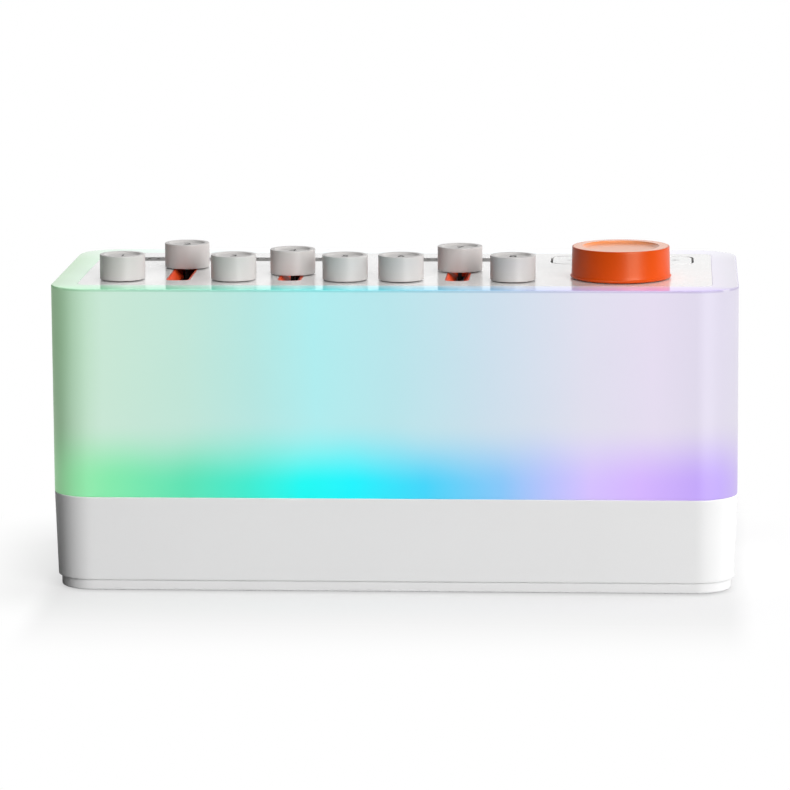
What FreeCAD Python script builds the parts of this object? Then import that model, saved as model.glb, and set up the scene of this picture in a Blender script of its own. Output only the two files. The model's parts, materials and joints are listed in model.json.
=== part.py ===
import FreeCAD, Part
import math
import os
import re
from types import SimpleNamespace
import Sketcher

# A white noise sound machine: a long box with a white base, a glowing milky diffuser above it,
# and a top plate with eight slide faders, one large dial, a rocker key and two sound grilles.
# Millimetres. +X is to the right seen from the front, +Y points to the rear, +Z is up.
# The origin is on the table, under the centre of the box.

VECTOR = FreeCAD.Vector
TINY = 1e-6
NEAR = 0.01

# Driving sizes
SIZES = {
    # Whole box
    "body_width": 220.0,
    "body_depth": 96.0,
    "plate_height": 98.5,
    "seam_height": 31.3,
    "corner_radius": 13.5,
    # Base shell
    "base_draft": 0.8,
    "base_wall": 2.5,
    "deck_thickness": 3.0,
    "lip_height": 3.5,
    "lip_thickness": 1.5,
    "lip_clearance": 0.15,
    # Bottom cover and feet
    "plinth_height": 4.2,
    "plinth_inset": 1.05,
    "cover_floor": 2.4,
    "cover_lip_height": 2.0,
    "cover_lip_thickness": 2.0,
    "cover_lip_clearance": 0.2,
    "foot_drop": 0.6,
    "foot_radius": 7.0,
    "foot_recess": 1.4,
    "foot_inset_x": 14.15,
    "foot_inset_y": 13.15,
    "foot_round": 0.4,
    "cover_screw_inset_x": 30.7,
    "cover_screw_inset_y": 10.7,
    "cover_boss_radius": 5.0,
    "cover_boss_height": 4.0,
    "base_boss_radius": 4.0,
    # Screws: large ones for the shells, small ones for boards and the loudspeaker
    "screw_radius": 1.45,
    "screw_length": 14.0,
    "screw_head_radius": 2.75,
    "screw_head_height": 1.6,
    "small_screw_radius": 1.1,
    "small_screw_length": 7.0,
    "small_head_radius": 2.1,
    "small_head_height": 1.4,
    "socket_radius": 1.0,
    "socket_depth": 0.8,
    "screw_fit": 0.03,
    "screw_pass": 0.25,
    # Diffuser shell
    "diffuser_wall": 2.5,
    "rim_thickness": 4.0,
    "top_edge_round": 0.5,
    "border_side": 8.3,
    "border_front": 10.6,
    "border_rear": 9.5,
    "ledge_width": 3.0,
    # Top plate
    "plate_thickness": 2.0,
    "plate_corner_radius": 3.5,
    "plate_clearance": 0.1,
    # Faders
    "fader_left_margin": 13.5,
    "fader_front_margin": 13.0,
    "fader_to_dial": 34.5,
    "fader_travel": 30.0,
    "fader_setting_2": 28.0,
    "fader_setting_4": 13.4,
    "fader_setting_7": 21.6,
    "cap_radius": 7.3,
    "cap_height": 7.9,
    "cap_gap": 0.3,
    "cap_dish_radius": 5.8,
    "cap_dish_depth": 0.9,
    "cap_dish_slope": 0.6,
    "cap_edge_round": 0.35,
    "cap_wall": 1.3,
    "cap_roof": 1.2,
    "cap_boss_radius": 2.8,
    "cap_boss_gap": 0.2,
    "lever_thickness": 1.2,
    "lever_width": 3.0,
    "lever_grip": 4.6,
    "lever_fit": 0.05,
    # Slot tray: one moulding that lines the fader slots
    "slot_mouth_width": 6.6,
    "slot_throat_width": 2.6,
    "slot_funnel_depth": 2.6,
    "slot_wall": 0.5,
    "slot_fit": 0.1,
    "slot_flush": 0.05,
    "slot_end_room": 0.5,
    "tray_thickness": 1.4,
    "tray_margin": 4.0,
    # Slide potentiometers
    "pot_drop": 8.5,
    "pot_length": 45.0,
    "pot_width": 9.0,
    "pot_height": 7.0,
    "pot_wall": 0.8,
    "pot_slot_width": 2.0,
    "pot_slot_room": 0.6,
    "carriage_length": 6.4,
    "carriage_play": 0.3,
    # Control board
    "board_thickness": 1.6,
    "board_corner_radius": 2.0,
    "board_margin": 3.5,
    "board_tab_rear_reach": 11.7,
    "board_tab_left_reach": 26.3,
    "board_right_gap": 11.5,
    "post_radius": 3.2,
    "post_inset": 5.0,
    "post_rear_inset": 7.6,
    "post_height": 11.4,
    # Dial and its rotary encoder
    "dial_right_margin": 29.4,
    "dial_front_margin": 20.1,
    "dial_gap": 0.3,
    "dial_height": 10.0,
    "dial_top_radius": 15.4,
    "dial_side_radius": 15.9,
    "dial_foot_radius": 16.4,
    "dial_foot_height": 0.5,
    "dial_foot_flare": 1.1,
    "dial_dish_radius": 12.2,
    "dial_dish_depth": 0.8,
    "dial_dish_slope": 0.8,
    "dial_edge_round": 0.7,
    "dial_wall": 2.0,
    "dial_roof": 1.8,
    "dial_hub_radius": 5.0,
    "dial_hub_gap": 0.4,
    "shaft_radius": 3.0,
    "shaft_grip": 6.2,
    "shaft_press_fit": 0.02,
    "shaft_running_fit": 0.05,
    "shaft_floor": 1.4,
    "shaft_hole_radius": 4.2,
    "encoder_side": 12.0,
    "encoder_height": 6.5,
    "bushing_radius": 3.8,
    "bushing_height": 4.5,
    # Rocker key behind the dial
    "key_rear_margin": 15.2,
    "key_width": 45.8,
    "key_depth": 18.4,
    "key_corner_radius": 4.2,
    "key_line": 0.7,
    "key_thickness": 1.3,
    "key_edge_round": 0.25,
    "key_skirt_inset": 1.6,
    "key_skirt_wall": 1.2,
    "key_skirt_depth": 2.8,
    "key_boss_width": 6.0,
    "key_boss_depth": 5.4,
    "key_leg_spread": 17.0,
    "key_leg_radius": 1.6,
    "key_leg_gap": 0.4,
    "key_pivot_drop": 5.5,
    "pin_radius": 0.75,
    "pin_running_fit": 0.05,
    "pin_press_fit": 0.01,
    "cradle_thickness": 1.6,
    "cradle_rim": 2.6,
    "cradle_room": 0.6,
    "ear_width": 5.0,
    "ear_thickness": 1.6,
    "ear_below_pin": 1.6,
    "switch_side": 6.0,
    "switch_case_height": 3.8,
    "switch_height": 5.0,
    "switch_plunger_radius": 1.7,
    # Sound grilles behind the faders
    "grille_rear_margin": 10.9,
    "grille_depth": 9.0,
    "grille_corner_radius": 1.2,
    "grille_thickness": 1.2,
    "grille_flush": 0.1,
    "grille_fit": 0.1,
    "grille_ledge": 1.0,
    "grille_hole_width": 1.0,
    "grille_hole_length": 5.6,
    "grille_hole_pitch": 3.0,
    # Inner core: light reflector outside, loudspeaker chamber inside
    "core_light_gap": 15.0,
    "core_wall": 2.5,
    "core_roof": 3.0,
    "core_corner_radius": 8.0,
    "core_boss_radius": 4.0,
    "core_boss_bite": 0.6,
    "core_boss_height": 14.0,
    # Loudspeaker
    "speaker_x": -36.0,
    "speaker_y": 0.0,
    "speaker_flange_radius": 29.5,
    "speaker_flange_thickness": 1.5,
    "speaker_basket_radius": 24.0,
    "speaker_basket_low_radius": 15.0,
    "speaker_basket_depth": 13.0,
    "speaker_sheet": 1.0,
    "speaker_cutout_room": 0.8,
    "speaker_screw_circle": 26.9,
    "cone_radius": 21.5,
    "cone_neck_radius": 8.0,
    "cone_depth": 8.5,
    "cone_sheet": 0.8,
    "surround_width": 2.2,
    "dust_cap_rise": 2.5,
    "magnet_radius": 17.0,
    "magnet_height": 9.0,
    # Light strip on the deck
    "strip_offset": 4.0,
    "strip_width": 9.0,
    "strip_inner_radius": 1.0,
    "strip_thickness": 0.6,
    "led_side": 5.0,
    "led_height": 1.6,
    "led_pitch": 14.0,
    # Main board, its parts and the power socket
    "main_board_width": 92.0,
    "main_board_front_y": -12.0,
    "main_board_rear_gap": 0.6,
    "standoff_radius": 3.2,
    "standoff_height": 5.6,
    "standoff_inset": 5.0,
    "inlet_width": 8.94,
    "inlet_height": 3.26,
    "inlet_length": 7.4,
    "inlet_shell": 0.4,
    "inlet_tongue_height": 0.7,
    "inlet_tongue_inset": 1.2,
    "inlet_hole_room": 0.35,
    "inlet_recess": 0.2,
    "inlet_side_flat": 0.02,
    "processor_x": -18.0,
    "processor_y": 8.0,
    "processor_side": 10.0,
    "amplifier_x": -34.0,
    "amplifier_y": 20.0,
    "amplifier_side": 7.0,
    "package_height": 1.4,
    "choke_x": 30.0,
    "choke_y": 17.0,
    "choke_side": 7.0,
    "choke_round": 1.0,
    "choke_height": 4.0,
    "capacitor_x": 15.0,
    "capacitor_y": 27.0,
    "capacitor_spacing": 10.0,
    "capacitor_radius": 4.0,
    "capacitor_height": 11.0,
    # Ribbon cable between the boards
    "ribbon_x": 20.0,
    "ribbon_y": 6.0,
    "ribbon_width": 12.0,
    "ribbon_thickness": 0.5,
    "ribbon_pass": 1.0,
    "plug_height": 4.0,
    "plug_width": 15.0,
    "plug_depth": 5.0,
}

FADER_COUNT = 8
# The faders that each sound grille lies behind
GRILLE_SPANS = {"sound_grille_left": range(1, 6), "sound_grille_right": range(6, 9)}


class Size:
    """A length that carries both its number and the sheet formula it comes from."""

    def __init__(self, number, formula):
        self.number = number
        self.formula = formula

    def __add__(self, other):
        other = as_size(other)
        return Size(self.number + other.number, f"({self.formula} + {other.formula})")

    def __sub__(self, other):
        other = as_size(other)
        return Size(self.number - other.number, f"({self.formula} - {other.formula})")

    def __mul__(self, factor):
        factor = as_size(factor)
        return Size(self.number * factor.number, f"({self.formula} * {factor.formula})")

    def __truediv__(self, factor):
        factor = as_size(factor)
        return Size(self.number / factor.number, f"({self.formula} / {factor.formula})")

    def __neg__(self):
        return self * -1

    def __radd__(self, other):
        return as_size(other) + self

    def __rsub__(self, other):
        return as_size(other) - self

    __rmul__ = __mul__


def as_size(value):
    """A plain number becomes a Size whose formula is the number itself."""
    return value if isinstance(value, Size) else Size(float(value), f"({float(value)})")


doc = FreeCAD.newDocument("SoundMachine")
sheet = doc.addObject("Spreadsheet::Sheet", "sizes")
for row, (name, number) in enumerate(SIZES.items(), start=1):
    sheet.set(f"A{row}", name)
    sheet.set(f"B{row}", str(number))
    sheet.setAlias(f"B{row}", name)
doc.recompute()
size = SimpleNamespace(**{name: Size(number, f"sizes.{name}") for name, number in SIZES.items()})

ORIGIN = as_size(0)
# How far behind its front stop each moved fader stands. The others are at the front.
FADER_SETTINGS = {2: size.fader_setting_2, 4: size.fader_setting_4, 7: size.fader_setting_7}
pieces = []


def bind(feature, path, value):
    """Ties one property of a feature to its sheet formula."""
    feature.setExpression(path, as_size(value).formula)


def new_body(label, at=(ORIGIN, ORIGIN, ORIGIN)):
    """An empty PartDesign body, placed by sheet formulas."""
    body = doc.addObject("PartDesign::Body", label)
    body.Label = label
    for axis, value in zip("xyz", at):
        bind(body, f"Placement.Base.{axis}", value)
    pieces.append(body)
    return body


def new_sketch(body, label, role="XY_Plane", offset=ORIGIN):
    """A sketch on one of the body's own origin planes, moved along that plane's normal."""
    sketch = body.newObject("Sketcher::SketchObject", f"{body.Label}_{label}")
    plane = [item for item in body.Origin.OriginFeatures if item.Role == role][0]
    sketch.AttachmentSupport = [(plane, "")]
    sketch.MapMode = "FlatFace"
    sketch.AttachmentOffset = FreeCAD.Placement(VECTOR(0, 0, as_size(offset).number), FreeCAD.Rotation())
    bind(sketch, "AttachmentOffset.Base.z", offset)
    return sketch


def constrain(sketch, rules):
    """Adds all rules of an outline at once, and ties each rule that has a size to its sheet formula."""
    first = sketch.ConstraintCount
    sketch.addConstraint([rule for rule, value in rules])
    for index, (rule, value) in enumerate(rules, start=first):
        if value is not None:
            sketch.setExpression(f"Constraints[{index}]", value.formula)


def place_rule(kind, geometry, end, value):
    """The rule that dimensions one point from the sketch's origin, across or up."""
    value = as_size(value)
    return Sketcher.Constraint(kind, -1, 1, geometry, end, value.number), value


def radius_rule(geometry, radius):
    radius = as_size(radius)
    return Sketcher.Constraint("Radius", geometry, radius.number), radius


def draw_circle(sketch, across, up, radius):
    centre = VECTOR(as_size(across).number, as_size(up).number, 0)
    circle = sketch.addGeometry(Part.Circle(centre, VECTOR(0, 0, 1), as_size(radius).number), False)
    rules = [
        place_rule("DistanceX", circle, 3, across),
        place_rule("DistanceY", circle, 3, up),
        radius_rule(circle, radius),
    ]
    constrain(sketch, rules)


def draw_polygon(sketch, corners):
    """A closed outline through corners, each dimensioned from the sketch's origin."""
    points = [VECTOR(as_size(across).number, as_size(up).number, 0) for across, up in corners]
    first = sketch.GeometryCount
    count = len(points)
    sides = [Part.LineSegment(points[i], points[(i + 1) % count]) for i in range(count)]
    sketch.addGeometry(sides, False)
    rules = []
    for i, (across, up) in enumerate(corners):
        following = first + (i + 1) % count
        rules.append((Sketcher.Constraint("Coincident", first + i, 2, following, 1), None))
        rules.append(place_rule("DistanceX", first + i, 1, across))
        rules.append(place_rule("DistanceY", first + i, 1, up))
    constrain(sketch, rules)


def draw_rectangle(sketch, left, right, low, high):
    draw_polygon(sketch, [(left, low), (right, low), (right, high), (left, high)])


def draw_rounded(sketch, left, right, low, high, radius):
    """A rectangle with four equal corner arcs."""
    x0, x1, y0, y1, r = (as_size(value).number for value in (left, right, low, high, radius))
    sides = [
        (VECTOR(x0 + r, y0, 0), VECTOR(x1 - r, y0, 0)),
        (VECTOR(x1, y0 + r, 0), VECTOR(x1, y1 - r, 0)),
        (VECTOR(x1 - r, y1, 0), VECTOR(x0 + r, y1, 0)),
        (VECTOR(x0, y1 - r, 0), VECTOR(x0, y0 + r, 0)),
    ]
    corners = [(x1 - r, y0 + r), (x1 - r, y1 - r), (x0 + r, y1 - r), (x0 + r, y0 + r)]
    quarter = math.pi / 2
    shapes = []
    for i in range(4):
        circle = Part.Circle(VECTOR(*corners[i], 0), VECTOR(0, 0, 1), r)
        start = (i - 1) * quarter
        shapes.append(Part.LineSegment(*sides[i]))
        shapes.append(Part.ArcOfCircle(circle, start, start + quarter))
    first = sketch.GeometryCount
    sketch.addGeometry(shapes, False)
    rules = []
    for i in range(4):
        line = first + 2 * i
        arc = line + 1
        following = first + (2 * i + 2) % 8
        rules.append((Sketcher.Constraint("Tangent", line, 2, arc, 1), None))
        rules.append((Sketcher.Constraint("Tangent", arc, 2, following, 1), None))
        rules.append((Sketcher.Constraint("Vertical" if i % 2 else "Horizontal", line), None))
        if i:
            rules.append((Sketcher.Constraint("Equal", first + 1, arc), None))
    rules.append(radius_rule(first + 1, radius))
    rules.append(place_rule("DistanceY", first, 1, low))
    rules.append(place_rule("DistanceX", first + 2, 1, right))
    rules.append(place_rule("DistanceY", first + 4, 1, high))
    rules.append(place_rule("DistanceX", first + 6, 1, left))
    constrain(sketch, rules)


def draw_outline(sketch, outline):
    """Draws a plan outline made by plan()."""
    draw_rounded(sketch, outline.left, outline.right, outline.front, outline.rear, outline.radius)


def plan(left, right, front, rear, radius):
    """A rounded rectangle seen from above."""
    return SimpleNamespace(left=left, right=right, front=front, rear=rear, radius=radius)


def shrink(outline, inset):
    """The same outline moved in by inset all round."""
    return plan(
        outline.left + inset,
        outline.right - inset,
        outline.front + inset,
        outline.rear - inset,
        outline.radius - inset,
    )


def centred(x, y, width, depth, radius):
    """A rounded rectangle about a centre."""
    return plan(x - width / 2, x + width / 2, y - depth / 2, y + depth / 2, radius)


def pad(sketch, length):
    """Adds material from the sketch upwards along its normal."""
    body = sketch.getParentGeoFeatureGroup()
    feature = body.newObject("PartDesign::Pad", f"{sketch.Label}_pad")
    feature.Profile = sketch
    bind(feature, "Length", length)
    return feature


def cut(sketch, depth, against_normal=True):
    """Removes material from the sketch downwards, or upwards along its normal."""
    body = sketch.getParentGeoFeatureGroup()
    feature = body.newObject("PartDesign::Pocket", f"{sketch.Label}_cut")
    feature.Profile = sketch
    feature.Reversed = not against_normal
    bind(feature, "Length", depth)
    return feature


def revolve(sketch):
    """Turns an outline drawn in the XZ plane once round the body's own Z axis."""
    body = sketch.getParentGeoFeatureGroup()
    feature = body.newObject("PartDesign::Revolution", f"{sketch.Label}_turned")
    feature.Profile = sketch
    feature.ReferenceAxis = (sketch, ["V_Axis"])
    feature.Angle = 360
    return feature


def loft(lower, upper, subtract=False):
    """A straight-sided transition between two sketches."""
    body = lower.getParentGeoFeatureGroup()
    kind = "PartDesign::SubtractiveLoft" if subtract else "PartDesign::AdditiveLoft"
    feature = body.newObject(kind, f"{lower.Label}_loft")
    feature.Profile = lower
    feature.Sections = [upper]
    feature.Ruled = True
    return feature


def row_of(sketch, feature, axis, length, count):
    """Repeats a feature along one of its sketch's axes."""
    body = sketch.getParentGeoFeatureGroup()
    pattern = body.newObject("PartDesign::LinearPattern", f"{feature.Label}_row")
    pattern.Originals = [feature]
    pattern.Direction = (sketch, [axis])
    bind(pattern, "Length", length)
    pattern.Occurrences = count
    body.Tip = pattern
    return pattern


def round_edges(body, radius, wanted):
    """Rounds the edges of the body's tip that the test function picks by place."""
    doc.recompute()
    tip = body.Tip
    names = [f"Edge{i}" for i, edge in enumerate(tip.Shape.Edges, start=1) if wanted(edge)]
    if not names:
        raise RuntimeError(f"{body.Label}: no edge to round")
    fillet = body.newObject("PartDesign::Fillet", f"{tip.Label}_round")
    fillet.Base = (tip, names)
    bind(fillet, "Radius", radius)
    return fillet


def edge_at_height(edge, height):
    """True for an edge that lies level at a height of the body's own frame."""
    box = edge.BoundBox
    return abs(box.ZMin - height.number) < NEAR and abs(box.ZMax - height.number) < NEAR


def edge_across(edge, radius):
    """True for a level edge that spans the full width of a turned piece."""
    box = edge.BoundBox
    return abs(box.XLength - 2 * radius.number) < NEAR and box.ZLength < NEAR


def ring(sketch, outline, width):
    """Draws an outline and a second one inside it."""
    draw_outline(sketch, outline)
    draw_outline(sketch, shrink(outline, width))


def four_corners(x, y):
    """The same point in all four quarters."""
    return [(x * sx, y * sy) for sx in (-1, 1) for sy in (-1, 1)]


# Heights and outlines that several pieces share
half_width = size.body_width / 2
half_depth = size.body_depth / 2
body_plan = plan(-half_width, half_width, -half_depth, half_depth, size.corner_radius)
base_foot_plan = shrink(body_plan, size.base_draft)
base_cavity_plan = shrink(base_foot_plan, size.base_wall)
plinth_plan = shrink(base_foot_plan, size.plinth_inset)
light_room_plan = shrink(body_plan, size.diffuser_wall)
core_plan = plan(
    light_room_plan.left + size.core_light_gap,
    light_room_plan.right - size.core_light_gap,
    light_room_plan.front + size.core_light_gap,
    light_room_plan.rear - size.core_light_gap,
    size.core_corner_radius,
)
plate_recess_plan = plan(
    body_plan.left + size.border_side,
    body_plan.right - size.border_side,
    body_plan.front + size.border_front,
    body_plan.rear - size.border_rear,
    size.plate_corner_radius,
)
deck_underside = size.seam_height - size.deck_thickness
cover_floor_top = size.foot_drop + size.cover_floor
plate_underside = size.plate_height - size.plate_thickness
board_top = size.plate_height - size.pot_drop - size.pot_height
board_underside = board_top - size.board_thickness
core_top = board_underside - size.post_height
main_board_underside = cover_floor_top + size.standoff_height
main_board_top = main_board_underside + size.board_thickness
pilot_radius = size.screw_radius + size.screw_fit
pass_radius = size.screw_radius + size.screw_pass
small_pilot_radius = size.small_screw_radius + size.screw_fit
small_pass_radius = size.small_screw_radius + size.screw_pass
dial_x = plate_recess_plan.right - size.dial_right_margin
dial_y = plate_recess_plan.front + size.dial_front_margin
key_y = plate_recess_plan.rear - size.key_rear_margin
fader_first_x = plate_recess_plan.left + size.fader_left_margin
fader_front_y = plate_recess_plan.front + size.fader_front_margin
fader_pitch = (dial_x - size.fader_to_dial - fader_first_x) / (FADER_COUNT - 1)
fader_axes = [fader_first_x + fader_pitch * i for i in range(FADER_COUNT)]
pot_middle_y = fader_front_y + size.fader_travel / 2
board_front = pot_middle_y - size.pot_length / 2 - size.board_margin
board_rear = pot_middle_y + size.pot_length / 2 + size.board_margin
cover_screw_places = four_corners(
    base_cavity_plan.right - size.cover_screw_inset_x,
    base_cavity_plan.rear - size.cover_screw_inset_y,
)
core_boss_inset = size.core_wall + size.core_boss_radius - size.core_boss_bite
core_screw_places = four_corners(core_plan.right - core_boss_inset, core_plan.rear - core_boss_inset)
foot_places = four_corners(plinth_plan.right - size.foot_inset_x, plinth_plan.rear - size.foot_inset_y)
board_posts = [
    (x, y)
    for x in (fader_first_x + fader_pitch / 2, core_plan.right - size.post_inset)
    for y in (core_plan.front + size.post_inset, board_rear - size.post_rear_inset)
]
diagonal = size.speaker_screw_circle * math.sqrt(0.5)
speaker_screw_places = [
    (size.speaker_x + diagonal * sx, size.speaker_y + diagonal * sy) for sx in (-1, 1) for sy in (-1, 1)
]
main_board_plan = plan(
    -size.main_board_width / 2,
    size.main_board_width / 2,
    size.main_board_front_y,
    base_cavity_plan.rear - size.main_board_rear_gap,
    size.board_corner_radius,
)
standoff_places = [
    (x, y)
    for x in (main_board_plan.left + size.standoff_inset, main_board_plan.right - size.standoff_inset)
    for y in (main_board_plan.front + size.standoff_inset, main_board_plan.rear - size.standoff_inset)
]


def screws(label, places, head_low, points_up, large):
    """A group of equal screws. Each has a round head, a plain shank and a round drive socket."""
    shank_radius = size.screw_radius if large else size.small_screw_radius
    shank_length = size.screw_length if large else size.small_screw_length
    head_radius = size.screw_head_radius if large else size.small_head_radius
    head_height = size.screw_head_height if large else size.small_head_height
    body = new_body(label)
    head = new_sketch(body, "head", offset=head_low)
    for x, y in places:
        draw_circle(head, x, y, head_radius)
    pad(head, head_height)
    shank_low = head_low + head_height if points_up else head_low - shank_length
    shank = new_sketch(body, "shank", offset=shank_low)
    for x, y in places:
        draw_circle(shank, x, y, shank_radius)
    pad(shank, shank_length)
    face = head_low if points_up else head_low + head_height
    drive = new_sketch(body, "drive", offset=face)
    for x, y in places:
        draw_circle(drive, x, y, size.socket_radius)
    cut(drive, size.socket_depth, against_normal=not points_up)
    return body


def make_base_shell():
    """White lower shell, drawn in slightly towards its foot, with the deck that carries the light."""
    body = new_body("base_shell")
    foot = new_sketch(body, "foot_outline", offset=size.plinth_height)
    draw_outline(foot, base_foot_plan)
    seam = new_sketch(body, "seam_outline", offset=size.seam_height)
    draw_outline(seam, body_plan)
    loft(foot, seam)
    cavity = new_sketch(body, "cavity", offset=size.plinth_height)
    draw_outline(cavity, base_cavity_plan)
    cut(cavity, deck_underside - size.plinth_height, against_normal=False)
    lip = new_sketch(body, "lip", offset=size.seam_height)
    ring(lip, shrink(light_room_plan, size.lip_clearance), size.lip_thickness)
    pad(lip, size.lip_height)
    boss_low = cover_floor_top + size.cover_boss_height
    bosses = new_sketch(body, "bosses", offset=boss_low)
    for x, y in cover_screw_places:
        draw_circle(bosses, x, y, size.base_boss_radius)
    pad(bosses, deck_underside - boss_low)
    pilots = new_sketch(body, "pilots", offset=boss_low)
    for x, y in cover_screw_places:
        draw_circle(pilots, x, y, pilot_radius)
    cut(pilots, size.screw_length, against_normal=False)
    core_holes = new_sketch(body, "core_screw_holes", offset=size.seam_height)
    for x, y in core_screw_places:
        draw_circle(core_holes, x, y, pass_radius)
    draw_ribbon_slot(core_holes)
    cut(core_holes, size.deck_thickness)
    inlet = new_sketch(body, "power_inlet", role="XZ_Plane", offset=-half_depth)
    draw_inlet_outline(inlet, size.inlet_hole_room)
    cut(inlet, size.base_draft + size.base_wall + size.main_board_rear_gap, against_normal=False)


def draw_ribbon_slot(sketch):
    """The slot that the ribbon cable passes."""
    half_slot = size.ribbon_width / 2 + size.ribbon_pass
    half_gap = size.ribbon_thickness / 2 + size.ribbon_pass
    draw_rectangle(
        sketch,
        size.ribbon_x - half_slot,
        size.ribbon_x + half_slot,
        size.ribbon_y - half_gap,
        size.ribbon_y + half_gap,
    )


def draw_inlet_outline(sketch, grow):
    """The flat-sided round-ended outline of the power socket, drawn in the XZ plane."""
    half_across = size.inlet_width / 2 + grow
    half_up = size.inlet_height / 2 + grow
    middle = main_board_top + size.inlet_height / 2
    corner = half_up - size.inlet_side_flat / 2
    draw_rounded(sketch, -half_across, half_across, middle - half_up, middle + half_up, corner)


def make_bottom_cover():
    """Plinth: a tray that closes the base from below, inset so that the base seems to float."""
    body = new_body("bottom_cover")
    outline = new_sketch(body, "outline", offset=size.foot_drop)
    draw_outline(outline, plinth_plan)
    pad(outline, size.plinth_height - size.foot_drop)
    lip_plan = shrink(base_cavity_plan, size.cover_lip_clearance)
    lip = new_sketch(body, "lip", offset=size.plinth_height)
    draw_outline(lip, lip_plan)
    pad(lip, size.cover_lip_height)
    hollow = new_sketch(body, "hollow", offset=size.plinth_height + size.cover_lip_height)
    draw_outline(hollow, shrink(lip_plan, size.cover_lip_thickness))
    cut(hollow, size.plinth_height + size.cover_lip_height - cover_floor_top)
    bosses = new_sketch(body, "bosses", offset=cover_floor_top)
    for x, y in cover_screw_places:
        draw_circle(bosses, x, y, size.cover_boss_radius)
    pad(bosses, size.cover_boss_height)
    standoffs = new_sketch(body, "standoffs", offset=cover_floor_top)
    for x, y in standoff_places:
        draw_circle(standoffs, x, y, size.standoff_radius)
    pad(standoffs, size.standoff_height)
    pilots = new_sketch(body, "board_pilots", offset=main_board_underside)
    for x, y in standoff_places:
        draw_circle(pilots, x, y, small_pilot_radius)
    cut(pilots, size.small_screw_length)
    feet = new_sketch(body, "foot_recesses", offset=size.foot_drop)
    for x, y in foot_places:
        draw_circle(feet, x, y, size.foot_radius + size.plate_clearance)
    cut(feet, size.foot_recess, against_normal=False)
    heads = new_sketch(body, "screw_heads", offset=size.foot_drop)
    for x, y in cover_screw_places:
        draw_circle(heads, x, y, size.screw_head_radius + size.screw_pass)
    cut(heads, size.screw_head_height + size.screw_pass, against_normal=False)
    holes = new_sketch(body, "screw_holes", offset=size.foot_drop)
    for x, y in cover_screw_places:
        draw_circle(holes, x, y, pass_radius)
    cut(holes, size.cover_floor + size.cover_boss_height, against_normal=False)


def make_foot_pads():
    """Four round rubber feet, seated in recesses of the bottom cover."""
    body = new_body("foot_pads")
    outline = new_sketch(body, "outline")
    for x, y in foot_places:
        draw_circle(outline, x, y, size.foot_radius)
    pad(outline, size.foot_drop + size.foot_recess)
    round_edges(body, size.foot_round, lambda edge: edge_at_height(edge, ORIGIN))


def make_diffuser_shell():
    """Milky translucent shell: four walls and a thick glossy border round the top plate."""
    body = new_body("diffuser_shell")
    outline = new_sketch(body, "outline", offset=size.seam_height)
    draw_outline(outline, body_plan)
    pad(outline, size.plate_height - size.seam_height)
    round_edges(body, size.top_edge_round, lambda edge: edge_at_height(edge, size.plate_height))
    hollow = new_sketch(body, "light_room", offset=size.seam_height)
    draw_outline(hollow, light_room_plan)
    cut(hollow, size.plate_height - size.rim_thickness - size.seam_height, against_normal=False)
    recess = new_sketch(body, "plate_recess", offset=size.plate_height)
    draw_outline(recess, plate_recess_plan)
    cut(recess, size.plate_thickness)
    window = new_sketch(body, "ledge_window", offset=plate_underside)
    draw_outline(window, shrink(plate_recess_plan, size.ledge_width))
    cut(window, size.rim_thickness - size.plate_thickness)


def fader_row(sketch, feature):
    """Repeats a feature drawn at the first fader for all the others."""
    row_of(sketch, feature, "H_Axis", fader_pitch * (FADER_COUNT - 1), FADER_COUNT)


def grille_plan(span):
    """The outline of one grille: it runs from the first to the last axis of the faders before it."""
    rear = plate_recess_plan.rear - size.grille_rear_margin
    return plan(
        fader_axes[span[0] - 1],
        fader_axes[span[-1] - 1],
        rear - size.grille_depth,
        rear,
        size.grille_corner_radius,
    )


def slot_plan(x, front, rear, width):
    """A fader slot's outline at one level: nearly full-round ends."""
    return plan(x - width / 2, x + width / 2, front, rear, width * 0.3)


def slot_ends():
    """Where the fader slots start and stop, so that the lever never reaches their ends."""
    reach = size.lever_width / 2 + size.slot_end_room
    return fader_front_y - reach, fader_front_y + size.fader_travel + reach


def tray_funnel_plan(x):
    """Outside of the funnel that lines one slot."""
    front, rear = slot_ends()
    width = size.slot_mouth_width + 2 * size.slot_wall
    return slot_plan(x, front - size.slot_wall, rear + size.slot_wall, width)


def key_opening_plan():
    """The opening in the plate: the key and the dark line round it."""
    width = size.key_width + 2 * size.key_line
    depth = size.key_depth + 2 * size.key_line
    return centred(dial_x, key_y, width, depth, size.key_corner_radius + size.key_line)


def make_top_plate():
    """Matt white plate, flush with the border, pierced for faders, grilles, dial shaft and key."""
    body = new_body("top_plate")
    outline = new_sketch(body, "outline", offset=plate_underside)
    draw_outline(outline, shrink(plate_recess_plan, size.plate_clearance))
    pad(outline, size.plate_thickness)
    slot = new_sketch(body, "fader_slot", offset=size.plate_height)
    draw_outline(slot, shrink(tray_funnel_plan(fader_axes[0]), -size.slot_fit))
    fader_row(slot, cut(slot, size.plate_thickness))
    openings = new_sketch(body, "openings", offset=size.plate_height)
    draw_outline(openings, key_opening_plan())
    draw_circle(openings, dial_x, dial_y, size.shaft_hole_radius)
    for span in GRILLE_SPANS.values():
        draw_outline(openings, shrink(grille_plan(span), size.grille_ledge))
    cut(openings, size.plate_thickness)
    seats = new_sketch(body, "grille_seats", offset=size.plate_height)
    for span in GRILLE_SPANS.values():
        draw_outline(seats, grille_plan(span))
    cut(seats, size.grille_thickness + size.grille_flush)


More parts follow.
